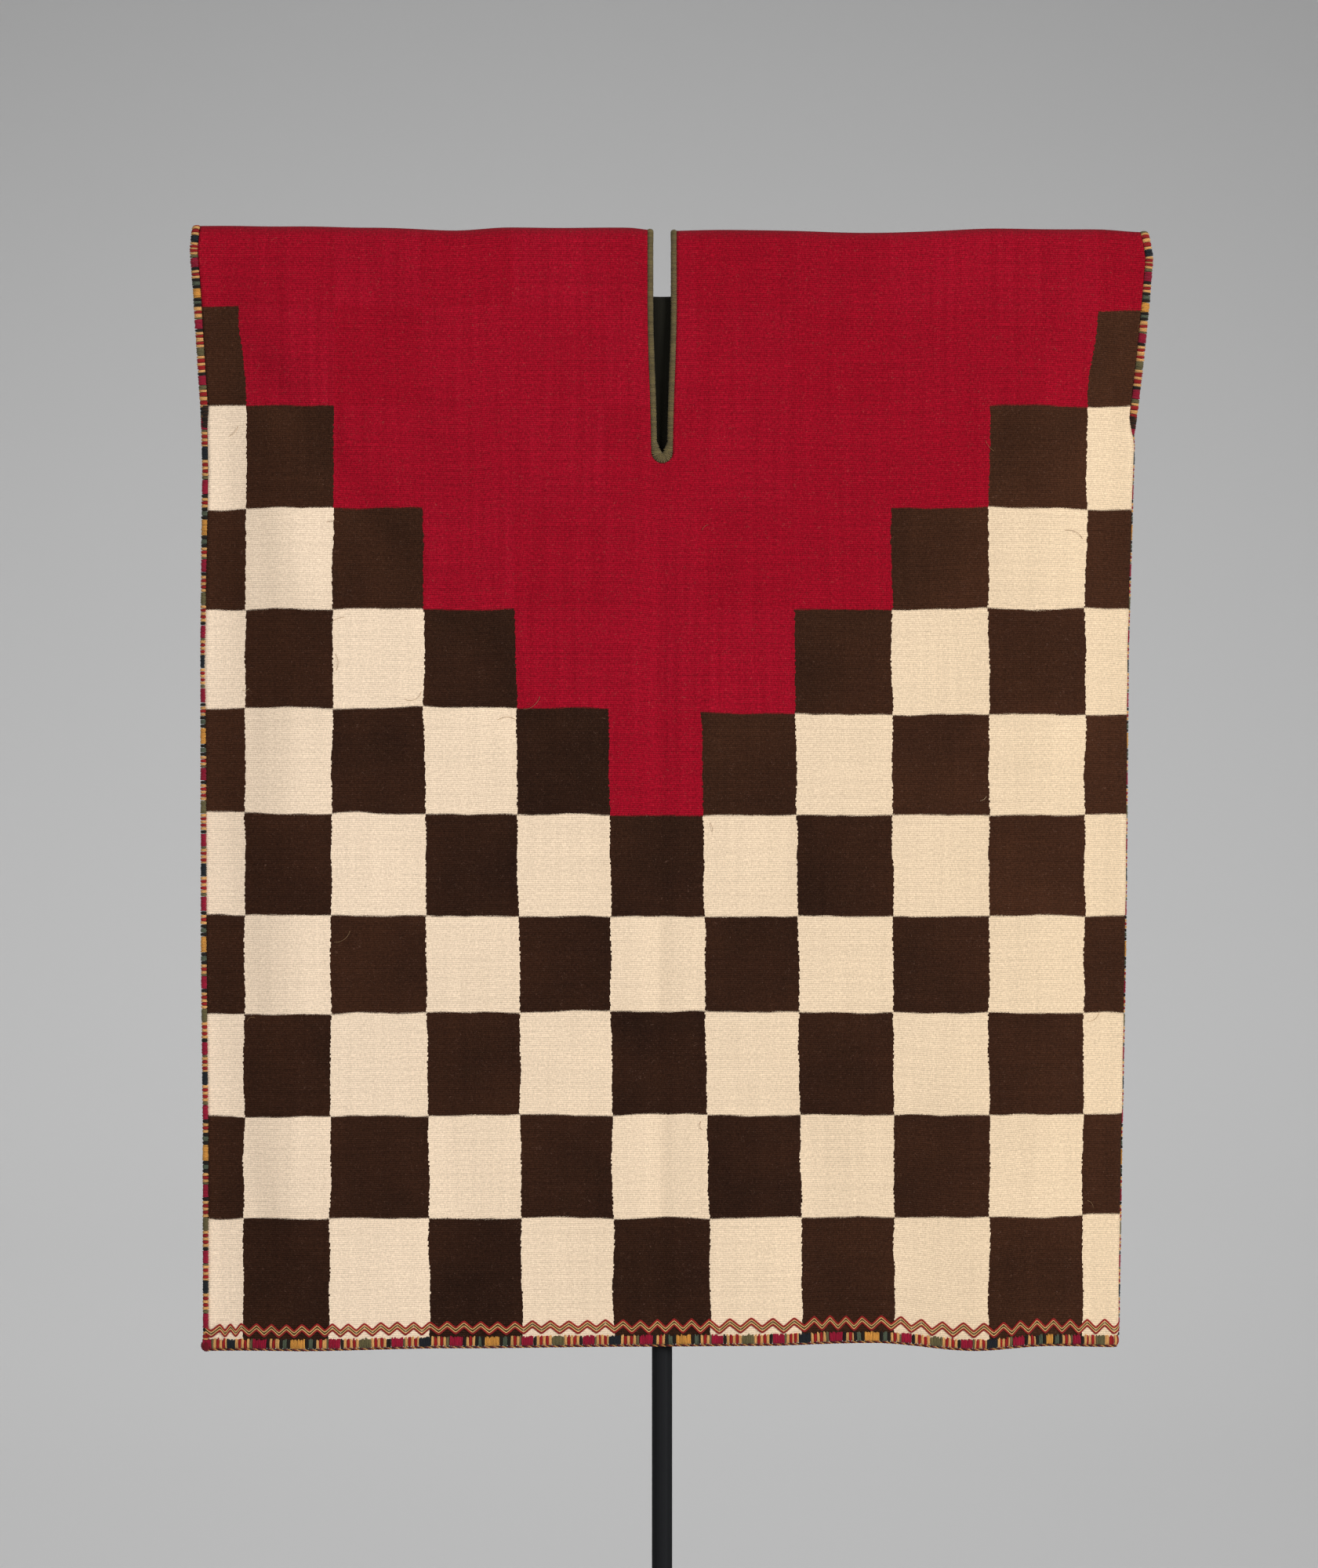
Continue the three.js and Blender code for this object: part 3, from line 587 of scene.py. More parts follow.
rib_random = add(tree, "ShaderNodeTexWhiteNoise", {"W": rib_number}, noise_dimensions="1D")
nudge = add(tree, "ShaderNodeMath", {0: rib_random, 1: TEETH["ribs"], 2: sway_u}, operation="MULTIPLY_ADD")
u = add(tree, "ShaderNodeMath", {0: nudge, 1: SIDE_MIDDLE}, operation="SUBTRACT")
column = add(tree, "ShaderNodeMath", {0: u}, operation="FLOOR")
row = add(tree, "ShaderNodeMath", {0: v}, operation="FLOOR")

# Which colour: squares of brown and cream in turn, and crimson in the yoke that steps down to the middle.
both = add(tree, "ShaderNodeMath", {0: column, 1: row}, operation="ADD")
halved = add(tree, "ShaderNodeMath", {0: both, 1: 0.5}, operation="MULTIPLY")
part = add(tree, "ShaderNodeMath", {0: halved}, operation="FRACT")
is_cream = add(tree, "ShaderNodeMath", {0: part, 1: 0.25}, operation="GREATER_THAN")
from_middle = add(tree, "ShaderNodeMath", {0: column, 1: 5}, operation="SUBTRACT")
steps_out = add(tree, "ShaderNodeMath", {0: from_middle}, operation="ABSOLUTE")
steps = add(tree, "ShaderNodeMath", {0: steps_out, 1: row}, operation="ADD")
is_step = add(tree, "ShaderNodeMath", {0: steps, 1: 4.5}, operation="LESS_THAN")
is_top = add(tree, "ShaderNodeMath", {0: row, 1: -0.5}, operation="LESS_THAN")
is_red = add(tree, "ShaderNodeMath", {0: is_step, 1: is_top}, operation="MAXIMUM")

# Dye lots: each square its own tone, streaks where the weaver changed yarn, and a paler right side.
lot_place = add(tree, "ShaderNodeCombineXYZ", {0: column, 1: row})
lot = add(tree, "ShaderNodeTexWhiteNoise", {"Vector": lot_place}, noise_dimensions="2D")
streak_place = add(tree, "ShaderNodeVectorMath", {0: lie, 1: (9, 380, 1)}, operation="MULTIPLY")
streak = add(tree, "ShaderNodeTexNoise", {"Vector": streak_place, "Scale": 1, "Detail": 3})
abrash_place = add(tree, "ShaderNodeVectorMath", {0: lie, 1: (210, 9, 1)}, operation="MULTIPLY")
abrash = add(tree, "ShaderNodeTexNoise", {"Vector": abrash_place, "Scale": 1, "Detail": 4})
soil = add(tree, "ShaderNodeTexNoise", {"Vector": lie, "Scale": 7, "Detail": 5})
off_middle = add(tree, "ShaderNodeMath", {0: at_u, 1: 4.6}, operation="SUBTRACT")
outer_part = add(tree, "ShaderNodeMath", {0: off_middle}, operation="ABSOLUTE")
paler = add(
    tree,
    "ShaderNodeMapRange",
    {"Value": outer_part, "From Min": 1.2, "From Max": 5.6, "To Min": 0.02, "To Max": 0.52},
)
blotch = add(tree, "ShaderNodeTexNoise", {"Vector": lie, "Scale": 14, "Detail": 3})
blotches = add(tree, "ShaderNodeMath", {0: blotch, 1: 0.9, 2: paler}, operation="MULTIPLY_ADD")
foot = add(tree, "ShaderNodeMapRange", {"Value": at_v, "From Min": 8, "From Max": 9.5, "To Max": -0.14})
blotches = add(tree, "ShaderNodeMath", {0: blotches, 1: foot}, operation="ADD")
lot_brown = add(tree, "ShaderNodeMath", {0: lot, 1: 0.3, 2: blotches}, operation="MULTIPLY_ADD")
brown_share = add(tree, "ShaderNodeMapRange", {"Value": lot_brown, "From Min": 0.35, "From Max": 1.45})
sunned = add(tree, "ShaderNodeMapRange", {"Value": at_u, "From Min": 0, "From Max": 11})
crimson_lot = add(tree, "ShaderNodeMath", {0: lot, 1: abrash}, operation="MULTIPLY")
# Each dye's two tones, and what decides between them.
brown, cream, crimson = [
    add(tree, "ShaderNodeMix", {0: share, 6: linear(one), 7: linear(other)}, output=2, data_type="RGBA")
    for share, one, other in (
        (brown_share, "#2a1911", "#482b1c"),
        (sunned, "#f3dcc2", "#e9cfac"),
        (crimson_lot, "#970b20", "#a31128"),
    )
]
checks = add(tree, "ShaderNodeMix", {0: is_cream, 6: brown, 7: cream}, output=2, data_type="RGBA")
dyed = add(tree, "ShaderNodeMix", {0: is_red, 6: checks, 7: crimson}, output=2, data_type="RGBA")

# Shade: painted shade between the ribs and a little painted light on their tops, painted shade along the
# fold's crest, and the tone of a grain of wefts, knots, the streaks and soil.
not_red = add(tree, "ShaderNodeMath", {0: 1, 1: is_red}, operation="SUBTRACT")
pale = add(tree, "ShaderNodeMath", {0: is_cream, 1: not_red}, operation="MULTIPLY")
# The ribs' painted shade: darkest in the valleys between ribs, a little less dark in the cream squares.
between = add(tree, "ShaderNodeMath", {0: pale, 1: 0.12, 2: 0.64}, operation="MULTIPLY_ADD")
rib_painted_shade = add(
    tree, "ShaderNodeMapRange", {"Value": rib, "From Max": 0.75, "To Min": between, "To Max": 1.07}
)
from_fold_for_painted_shade = add(tree, "ShaderNodeMath", {0: at_along}, operation="ABSOLUTE")
shade = 1
# Each noise or place, where its range starts and ends, and the shades there.
for cause, start, end, dark, light in (
    (knots, 0.3, 0.7, 0.76, 1.24),
    (weft, 0.25, 0.75, 0.64, 1.36),
    (streak, 0.3, 0.7, 0.92, 1.07),
    (abrash, 0.3, 0.7, 0.93, 1.06),
    (soil, 0.3, 0.7, 0.96, 1.04),
    # Painted shade on the shoulder fold's crest: darkest at its top, gone 15 mm down the fold.
    (from_fold_for_painted_shade, 0, 15 * MM, 0.72, 1),
):
    part_shade = add(
        tree,
        "ShaderNodeMapRange",
        {"Value": cause, "From Min": start, "From Max": end, "To Min": dark, "To Max": light},
    )
    shade = add(tree, "ShaderNodeMath", {0: part_shade, 1: shade}, operation="MULTIPLY")
contrast = add(tree, "ShaderNodeMath", {0: pale, 1: -0.5, 2: 1}, operation="MULTIPLY_ADD")
unlike = add(tree, "ShaderNodeMath", {0: shade, 1: 1}, operation="SUBTRACT")
shade = add(tree, "ShaderNodeMath", {0: unlike, 1: contrast, 2: 1}, operation="MULTIPLY_ADD")
shade = add(tree, "ShaderNodeMath", {0: shade, 1: rib_painted_shade}, operation="MULTIPLY")
coloured = add(tree, "ShaderNodeVectorMath", {0: dyed, "Scale": shade}, operation="SCALE")
hairy = add(tree, "ShaderNodeMapRange", {"Value": hair, "From Min": 0.6, "From Max": 0.74, "To Max": 0.16})
coloured = add(
    tree, "ShaderNodeMix", {0: hairy, 6: coloured, 7: linear("#d9a890")}, output=2, data_type="RGBA"
)
weave = add(tree, "ShaderNodeMath", {0: weft, 1: 0.7, 2: rib}, operation="MULTIPLY_ADD")
weave = add(tree, "ShaderNodeMath", {0: knots, 1: 1.4, 2: weave}, operation="MULTIPLY_ADD")
relief_depth = add(tree, "ShaderNodeMath", {0: contrast, 1: 0.6}, operation="MULTIPLY")
bump = add(tree, "ShaderNodeBump", {"Height": weave, "Strength": relief_depth, "Distance": 0.4 * MM})
nap = add(
    tree,
    "ShaderNodeBsdfPrincipled",
    {
        "Base Color": coloured,
        "Normal": bump,
        "Roughness": 0.95,
        "Specular IOR Level": 0.05,
        "Sheen Weight": 0.02,
    },
)
add(tree, "ShaderNodeOutputMaterial", {"Surface": nap})
cloth_mesh.materials.append(wool)
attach(cloth, "root")
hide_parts("tunic_cloth")

# ------------------------------------------------------------------ the neck's binding
# Olive yarn in close cross-knit loops round the slit's edge, front and back. The loops lie side by side
# across the edge, lean a little one way and the other, and fan out round both ends of the slit.
NECK_PITCH = 0.75
NECK_YARN = 0.95
NECK_WIDE = SLIT["width"] + 0.2
NECK_DEEP = 4.3
NECK_END = {"longer": 3.7, "over": 8}  # the loops grow longer over this length before each end of the slit
OLIVES = ("#6e6040", "#655839", "#746640")


def new_tree(name, made, **inputs):
    """A Geometry Nodes tree that makes one geometry, with inputs named by their kinds of socket."""
    tree = bpy.data.node_groups.new(name, "GeometryNodeTree")
    for socket, kind in inputs.items():
        tree.interface.new_socket(socket, in_out="INPUT", socket_type=f"NodeSocket{kind}")
    tree.interface.new_socket(made, in_out="OUTPUT", socket_type="NodeSocketGeometry")
    return tree


def stitch_tree():
    """Loops of yarn round an edge: one closed loop at each point, across the edge and over it."""
    tree = new_tree(
        "yarn_loops",
        "Loops",
        Points="Geometry",
        Width="Float",
        Thickness="Float",
        Yarn="Float",
        Unevenness="Float",
        Seed="Int",
        Material="Material",
    )
    given = add(tree, "NodeGroupInput").node.outputs
    half = {}
    for name in ("Width", "Thickness"):
        inner = add(tree, "ShaderNodeMath", {0: given[name], 1: given["Yarn"]}, operation="SUBTRACT")
        half[name] = add(tree, "ShaderNodeMath", {0: inner, 1: 0.5}, operation="MULTIPLY")
    ring = add(tree, "GeometryNodeCurvePrimitiveCircle", {"Resolution": 10, "Radius": 1.0})
    oval = add(tree, "ShaderNodeCombineXYZ", {0: half["Width"], 1: half["Thickness"], 2: 1})
    loop = add(tree, "GeometryNodeTransform", {"Geometry": ring, "Scale": oval})
    strand = add(tree, "ShaderNodeMath", {0: given["Yarn"], 1: 0.5}, operation="MULTIPLY")
    section = add(tree, "GeometryNodeCurvePrimitiveCircle", {"Resolution": 4, "Radius": strand})
    yarn = add(tree, "GeometryNodeCurveToMesh", {"Curve": loop, "Profile Curve": section})
    kinds = {"aside": "FLOAT_VECTOR", "outwards": "FLOAT_VECTOR", "lean": "FLOAT", "swell": "FLOAT_VECTOR"}
    at_point = {
        name: add(tree, "GeometryNodeInputNamedAttribute", {"Name": name}, data_type=kind)
        for name, kind in kinds.items()
    }
    turned = add(
        tree,
        "FunctionNodeAxesToRotation",
        {"Primary Axis": at_point["aside"], "Secondary Axis": at_point["outwards"]},
        primary_axis="X",
        secondary_axis="Y",
    )
    less = add(tree, "ShaderNodeMath", {0: given["Unevenness"], 1: -1}, operation="MULTIPLY")
    shaky = add(
        tree,
        "FunctionNodeRandomValue",
        {2: less, 3: given["Unevenness"], "Seed": given["Seed"]},
        output=1,
        data_type="FLOAT",
    )
    slant = add(tree, "ShaderNodeMath", {0: at_point["lean"], 1: shaky}, operation="ADD")
    twist = add(tree, "ShaderNodeCombineXYZ", {0: 0, 1: slant, 2: shaky})
    twist_turn = add(tree, "FunctionNodeEulerToRotation", {0: twist})
    turned = add(
        tree,
        "FunctionNodeRotateRotation",
        {"Rotation": turned, "Rotate By": twist_turn},
        rotation_space="LOCAL",
    )
    loops = add(
        tree,
        "GeometryNodeInstanceOnPoints",
        {"Points": given["Points"], "Instance": yarn, "Rotation": turned, "Scale": at_point["swell"]},
    )
    real = add(tree, "GeometryNodeRealizeInstances", {0: loops})
    smooth = add(tree, "GeometryNodeSetShadeSmooth", {0: real})
    made = add(tree, "GeometryNodeSetMaterial", {0: smooth, "Material": given["Material"]})
    add(tree, "NodeGroupOutput", {0: made})
    return tree


def give_inputs(modifier, tree, **values):
    """Sets a Geometry Nodes modifier's inputs by the identifiers of the tree's sockets."""
    modifier.node_group = tree
    for socket in tree.interface.items_tree:
        if socket.in_out == "INPUT" and socket.name in values:
            modifier[socket.identifier] = values[socket.name]


def point_mesh(name, points, edges=(), **attributes):
    """A mesh of points in metres, with an attribute for each named array."""
    mesh = bpy.data.meshes.new(name)
    mesh.from_pydata((np.asarray(points) * MM).tolist(), list(edges), [])
    for key, values in attributes.items():
        values = np.asarray(values, np.float32)
        kinds = {1: ("FLOAT", "value"), 3: ("FLOAT_VECTOR", "vector"), 4: ("FLOAT_COLOR", "color")}
        kind, field = kinds[1 if values.ndim == 1 else values.shape[1]]
        mesh.attributes.new(key, kind, "POINT").data.foreach_set(field, values.ravel())
    return mesh


def loops(name, points, aside, out, colours, sizes, lean=None, swell=None, seed=1):
    """Sews a row of yarn loops and gives back the piece. Sizes are width, thickness, yarn, unevenness."""
    count = len(points)
    mesh = point_mesh(
        name,
        points,
        aside=aside,
        outwards=out,
        yarn_colour=colours,
        lean=np.zeros(count) if lean is None else lean,
        swell=np.ones((count, 3)) if swell is None else swell,
    )
    obj = put(name, mesh)
    width, thick, thread, uneven = sizes
    give_inputs(
        obj.modifiers.new("loops", "NODES"),
        loop_tree,
        Width=width * MM,
        Thickness=thick * MM,
        Yarn=thread * MM,
        Unevenness=uneven,
        Seed=seed,
        Material=yarn_wool,
    )
    settle(obj)
    return obj


def colours_of(names, seed, spread=0.14):
    """The linear colour of each stitch, with a little of its own lightness."""
    rng = np.random.default_rng(seed)
    table = np.array([linear(name) for name in names])
    table[:, :3] *= 1 + spread * rng.uniform(-1, 1, (len(table), 1))
    return table


def evenly(points, pitch):
    """Places at an even pitch along a line of (across, along), measured on the cloth."""
    solid = surface(points[:, 0], points[:, 1])
    far = np.concatenate([[0], np.cumsum(np.linalg.norm(np.diff(solid, axis=0), axis=1))])
    stops = np.linspace(0, far[-1], max(2, round(far[-1] / pitch)) + 1)
    return np.stack([np.interp(stops, far, points[:, k]) for k in (0, 1)], 1)


def seat(places, closed=False):
    """Point, direction aside, and direction out of the cloth, for places along a line."""
    across, along = places.T
    if closed:
        before, after = np.roll(places, 1, 0), np.roll(places, -1, 0)
    else:
        before, after = places[[0, *range(len(places) - 1)]], places[[*range(1, len(places)), -1]]
    way = surface(*after.T) - surface(*before.T)
    out = outward(across, along)
    return surface(across, along), unit(np.cross(way, out)), out


yarn_wool, tree = new_material("plied_camelid_yarn")
dye = add(tree, "ShaderNodeAttribute", attribute_name="yarn_colour")
place = add(tree, "ShaderNodeTexCoord", output="Object")
fluff = add(
    tree, "ShaderNodeTexNoise", {"Vector": place, "Scale": 1 / (0.5 * MM), "Detail": 3, "Roughness": 0.7}
)
patch = add(tree, "ShaderNodeTexNoise", {"Vector": place, "Scale": 60, "Detail": 3})
fluff_shade = add(
    tree,
    "ShaderNodeMapRange",
    {"Value": fluff, "From Min": 0.3, "From Max": 0.7, "To Min": 0.75, "To Max": 1.15},
)
patch_shade = add(
    tree,
    "ShaderNodeMapRange",
    {"Value": patch, "From Min": 0.3, "From Max": 0.7, "To Min": 0.86, "To Max": 1.08},
)
shade = add(tree, "ShaderNodeMath", {0: fluff_shade, 1: patch_shade}, operation="MULTIPLY")
coloured = add(tree, "ShaderNodeVectorMath", {0: dye, "Scale": shade}, operation="SCALE")
bump = add(tree, "ShaderNodeBump", {"Height": fluff, "Strength": 0.6, "Distance": 0.15 * MM})
ply = add(
    tree,
    "ShaderNodeBsdfPrincipled",
    {
        "Base Color": coloured,
        "Normal": bump,
        "Roughness": 0.9,
        "Specular IOR Level": 0.2,
        "Sheen Weight": 0.08,
    },
)
add(tree, "ShaderNodeOutputMaterial", {"Surface": ply})

loop_tree = stitch_tree()
bind_middle = SLIT["width"] / 2 + 0.25
straight = np.linspace(-SLIT_END, SLIT_END, 240)
left_line = np.stack([-slit_half_gap(straight) - bind_middle, straight], 1)
angles = np.linspace(0, math.pi, 26)[1:-1]
end_round = SLIT["end_gap"] / 2 + bind_middle
round_end = np.stack([-np.cos(angles) * end_round, SLIT_END + np.sin(angles) * end_round], 1)
half_line = np.concatenate([left_line, round_end])
neck_line = np.concatenate([half_line, -half_line, half_line[:1]])
neck_places = evenly(neck_line, NECK_PITCH)[:-1]
rng = np.random.default_rng(4)
middle, aside, out = seat(neck_places, closed=True)
# At both ends the loops are longer, and draw the slit together to a point.
round_share = np.clip((np.abs(neck_places[:, 1]) - SLIT_END) / NECK_END["over"] + 1, 0, 1)
longer = NECK_END["longer"] * round_share + rng.uniform(-0.5, 0.3, len(middle)) * round_share
to_centre = surface(np.zeros(len(middle)), np.sign(neck_places[:, 1]) * SLIT_END) - middle
inwards = np.sign(np.sum(aside * to_centre, 1))
raised = 0.2 + rng.uniform(0, 0.5, len(middle)) * round_share
middle = middle + aside * (inwards * longer / 2)[:, None] + out * raised[:, None]
swell = 1 + rng.uniform(-0.04, 0.04, (len(middle), 3))
swell[:, 0] *= 1 + longer / NECK_WIDE
neck = loops(
    "neck_loops",
    middle,
    aside,
    out,
    colours_of(rng.choice(OLIVES, len(middle)), 5, 0.1 + 0.25 * round_share[:, None]),
    (NECK_WIDE, NECK_DEEP, NECK_YARN, 0.06),
    lean=np.where(np.arange(len(middle)) % 2, 0.05, -0.05),
    swell=swell,
    seed=6,
)
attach(neck, "root")
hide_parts("neck_binding")

# ------------------------------------------------------------------ armhole and side bindings
# Yarns of eight colours in close loops round the armholes' edges and down both edges of the sewn sides, in
# stripes whose run is made again and again. A narrow stripe is two or three loops, and a broad one seven or
# more.
DYES = {
    "N": "#1c2025",  # navy
    "Y": "#d6a262",  # yellow
    "D": "#cf9342",  # deep yellow
    "R": "#9b1c1c",  # red
    "C": "#981030",  # crimson
    "O": "#6a6140",  # olive
    "G": "#525a48",  # green
    "B": "#211913",  # black
}
# The runs of stripes, each a dye and its number of loops.
SIDE_RUN = "N8 Y2 R2 Y2 R2 Y2 O2 C9 B2 Y2 R2 Y2 B2 G3 B2 D10 B2 G3 B2 Y2 R2 Y2 O1 C8 B2"
SIDE_RUN += " Y2 R2 Y2 R2 Y2 O8 Y2 R2 Y2 R2 Y2 B2 C8 O1 Y2 R2 Y2 R2 Y1"
ARM_RUN = "N5 Y2 R2 Y1 R2 Y2 O2 C7 B2 Y2 R2 Y2 B2 G3 B2 D7 B2 G2 B2 Y3 R2 Y3 O1 C7 B2"
ARM_RUN += " Y2 R2 Y3 R2 Y2 O6 Y2 R3 Y2 R3 Y2 B2 C7 O3 Y2 R3 Y3 R3 Y2"
BUNCH = 0.26  # how far a stripe's outer loops are drawn to its middle, as a share of the pitch
ARM_PITCH = 1.1
ARM_YARN = 1.2
SIDE_PITCH = 1.3
SIDE_YARN = 1.4
SIDE_WIDE = 5.3
EDGE_DEEP = 4.2  # from a loop's front to its back
SIDE_SWELL = {"top": 1.04, "less": 0.16}  # the side loops' reach, and how much less it is lower down
TURN_OUT = {"out": 0.7, "from": 14, "over": 20}  # how far the loops stand out along the turned right edge
PINCH = {"share": 0.22, "above": 2, "reach": 8}
ARM_FIRST = {-1: -11, 1: -17}  # each side's loop at the top of the fold, counted from the navy stripe
SIDE_FIRST = -17  # the loop at the armhole's foot


def stripes(run):
    """The dye of each loop of a run, and its place in its stripe from -1 to 1."""
    parts = [(part[0], int(part[1:])) for part in run.split()]
    dyes = [DYES[dye] for dye, count in parts for _ in range(count)]
    return dyes, np.array([(2 * k + 1) / count - 1 for _, count in parts for k in range(count)])


def striped(run, numbers, seed):
    dyes = stripes(run)[0]
    return colours_of([dyes[n % len(dyes)] for n in numbers], seed)


def bunched(run, places, numbers):
    """Draws the loops of each stripe together, so that a dark line shows between stripes."""
    place = stripes(run)[1]
    order = np.arange(len(places))
    drawn = order - BUNCH * place[numbers % len(place)] * np.sign(np.gradient(numbers))
    return np.stack([np.interp(drawn, order, places[:, k]) for k in (0, 1)], 1)


def pinch(places):
    """How much narrower the loops are drawn at the armhole's foot, where the joining stitches hold them."""
    away = (np.abs(places[:, 1]) - ARM_ALONG + PINCH["above"]) / PINCH["reach"]
    return 1 - PINCH["share"] * np.exp(-(away**2))


def edge_line(side, start, stop, wide, step=4):
    """The line down the middle of an edge's binding."""
    along = np.linspace(start, stop, max(3, int(abs(stop - start) / step)))
    return np.stack([side * (edge_of(side, along)[4] - wide / 2), along], 1)


FOOT = ARM_ALONG - 0.3
SIDE_SPAN = np.array([ARM_ALONG + 0.6, HEM_ALONG - HEM_COVER + 1.6])
for word, side in (("left", -1), ("right", 1)):
    places = evenly(edge_line(side, FOOT, -FOOT, EDGE_WIDTH), ARM_PITCH)
    numbers = np.abs(np.arange(len(places)) - len(places) // 2) + ARM_FIRST[side]
    middle, aside, out = seat(bunched(ARM_RUN, places, numbers))
    swell = 1 + np.random.default_rng(10 + side).uniform(-0.07, 0.07, (len(places), 3))
    swell[:, 0] *= pinch(places)
    armhole = loops(
        f"armhole_loops_{word}",
        middle,
        aside * side,
        out,
        striped(ARM_RUN, numbers, 20 + side),
        (EDGE_WIDTH + 1, EDGE_DEEP, ARM_YARN, 0.07),
        swell=swell,
        seed=30 + side,
    )
    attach(armhole, "root")
    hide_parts(f"armhole_binding_{word}")
    for face_word, face in (("front", 1), ("back", -1)):
        line = edge_line(side, *(face * SIDE_SPAN), SIDE_WIDE)
        places = evenly(line, SIDE_PITCH)
        numbers = np.arange(len(places)) + SIDE_FIRST
        middle, aside, out = seat(bunched(SIDE_RUN, places, numbers))
        swell = 1 + np.random.default_rng(40 + side + face * 3).uniform(-0.09, 0.09, (len(places), 3))
        past_foot = np.abs(places[:, 1]) - ARM_ALONG
        swell[:, 0] *= SIDE_SWELL["top"] - SIDE_SWELL["less"] * ease((past_foot - LOW["from"]) / LOW["over"])
        if (side, face) == (1, 1):
            stands_out = TURN_OUT["out"] * ease((past_foot - TURN_OUT["from"]) / TURN_OUT["over"])
            middle = middle + out * stands_out[:, None]
        down_side = loops(
            f"side_loops_{word}_{face_word}",
            middle,
            aside,
            out,
            striped(SIDE_RUN, numbers, 50 + side + face * 3),
            (SIDE_WIDE + 0.3, EDGE_DEEP, SIDE_YARN, 0.07),
            swell=swell,
            seed=60 + side + face * 3,
        )
        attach(down_side, "root")
        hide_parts(f"side_binding_{word}_{face_word}")

# ------------------------------------------------------------------ joining stitches
# Dark brown yarn wrapped round the front and back bindings at the foot of each armhole, where the sewing of
# the side begins and takes the strain. It is thick at the top and tapers to nothing.
JOIN_PITCH = 0.95
JOIN_YARN = 1.1
JOIN_DEEP = 10  # a wrap's depth before it is fitted to the bundle
JOIN_PAST = 0.8  # how far the wrap's middle lies inwards of the loops' middle
JOIN_TAPER = 1.2  # how much narrower it is at its lower end
JOIN_ROUND = 2.9  # what it adds to the loops' width
BUNDLE = 5.8  # what the loops add to the distance between the front and back cloth
# Each side's reach above the armhole's foot and whole length.
JOINS = {-1: (9.5, 16.5), 1: (5, 9.5)}
for word, side in (("left", -1), ("right", 1)):
    above, long = JOINS[side]
    along = ARM_ALONG - above + np.arange(0, long, JOIN_PITCH)
    share = np.linspace(0, 1, len(along))
    wide = EDGE_WIDTH + (SIDE_WIDE - JOIN_TAPER - EDGE_WIDTH) * share
    inset = wide / 2 + JOIN_PAST
    spots = [surface(side * (edge_of(side, f * along)[4] - inset), f * along) for f in (1, -1)]
    middle = (spots[0] + spots[1]) / 2
    way = unit(np.gradient(middle, axis=0))
    out = np.tile([0.0, -1.0, 0.0], (len(middle), 1))
    deep = np.linalg.norm(spots[0] - spots[1], axis=1) + BUNDLE
    swell = np.stack([(wide + JOIN_ROUND) / EDGE_WIDTH, deep / JOIN_DEEP, np.ones(len(middle))], 1)
    tones = np.random.default_rng(70 + side).choice(["#2c1c12", "#3a2416", "#231710"], len(middle))
    join = loops(
        f"joining_stitches_{word}",
        middle,
        unit(np.cross(out, way)),
        out,
        colours_of(tones, 71 + side),
        (EDGE_WIDTH, JOIN_DEEP, JOIN_YARN, 0.1),
        swell=swell,
        seed=72 + side,
    )
    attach(join, "root")

# ------------------------------------------------------------------ the hem
# The lower edge is bound like the sides, with longer loops. A thin cord of three twisted yarns, dark,
# yellow and red, is sewn on below them, and it ends at the lower left corner in a small crimson knot.
HEM_PITCH = 1.2
HEM_YARN = 1.3
HEM_TALL = 8.6
HEM_DEEP = 3.8
HEM_INSET = {"left": 0.8, "right": 1.6}  # how far inside the cloth's side edges the loops stop
HEM_LAST_SHORTER = 1.6  # the last two loops at the right are shorter
HEM_CORD_ROOM = 0.6  # the loops end this far above the hem's lower edge, on the cord
# Where each navy stripe begins. The stripes past the first and the last one are narrower, so there the
# count of loops past it stands at more places.
HEM_STARTS = (-341.2, -190.0, -40.8, 107.9, 254.9)
HEM_FIRST = [(-335.2, 8), (-320.4, 20), (-309.2, 29)]
HEM_LAST = [
    (274.8, 20), (284.9, 29), (293.3, 37), (300.6, 44), (306.4, 54), (322.1, 68), (329.4, 76), (341.1, 88)
]
HEM_LAST += [(348.5, 96), (357.0, 101), (368.0, 112)]
HEM_RUN = len(stripes(SIDE_RUN)[0])
HEM_COUNT = [(-368, -22), *HEM_FIRST] + [(x, k * HEM_RUN) for k, x in enumerate(HEM_STARTS)]
HEM_COUNT = sorted(HEM_COUNT + [(x, k + 4 * HEM_RUN) for x, k in HEM_LAST])
for word, face in (("front", 1), ("back", -1)):
    along = face * (HEM_ALONG - HEM_CORD_ROOM - HEM_TALL / 2)
    ends = [-edge_of(-1, along)[4] + HEM_INSET["left"], edge_of(1, along)[4] - HEM_INSET["right"]]
    line = np.stack([np.linspace(*ends, 200), np.full(200, along)], 1)
    places = evenly(line, HEM_PITCH)
    numbers = np.round(np.interp(places[:, 0], *np.array(HEM_COUNT, float).T)).astype(int)
    places = bunched(SIDE_RUN, places, numbers)
    longer = np.random.default_rng(86 + face).uniform(-1.2, 0.8, len(places))
    longer[-2:] -= HEM_LAST_SHORTER
    places[:, 1] -= face * longer / 2
    middle, _, out = seat(places)
    aside = unit(surface(places[:, 0], places[:, 1] + face) - surface(places[:, 0], places[:, 1] - face))
    swell = 1 + np.random.default_rng(80 + face).uniform(-0.03, 0.03, (len(places), 3))
    swell[:, 0] = 1 + longer / HEM_TALL
    hem = loops(
        f"hem_loops_{word}",
        middle,
        aside,
        out,
        striped(SIDE_RUN, numbers, 82 + face),
        (HEM_TALL, HEM_DEEP, HEM_YARN, 0.05),
        swell=swell,
        seed=84 + face,
    )
    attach(hem, "root")
    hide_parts(f"hem_binding_{word}")


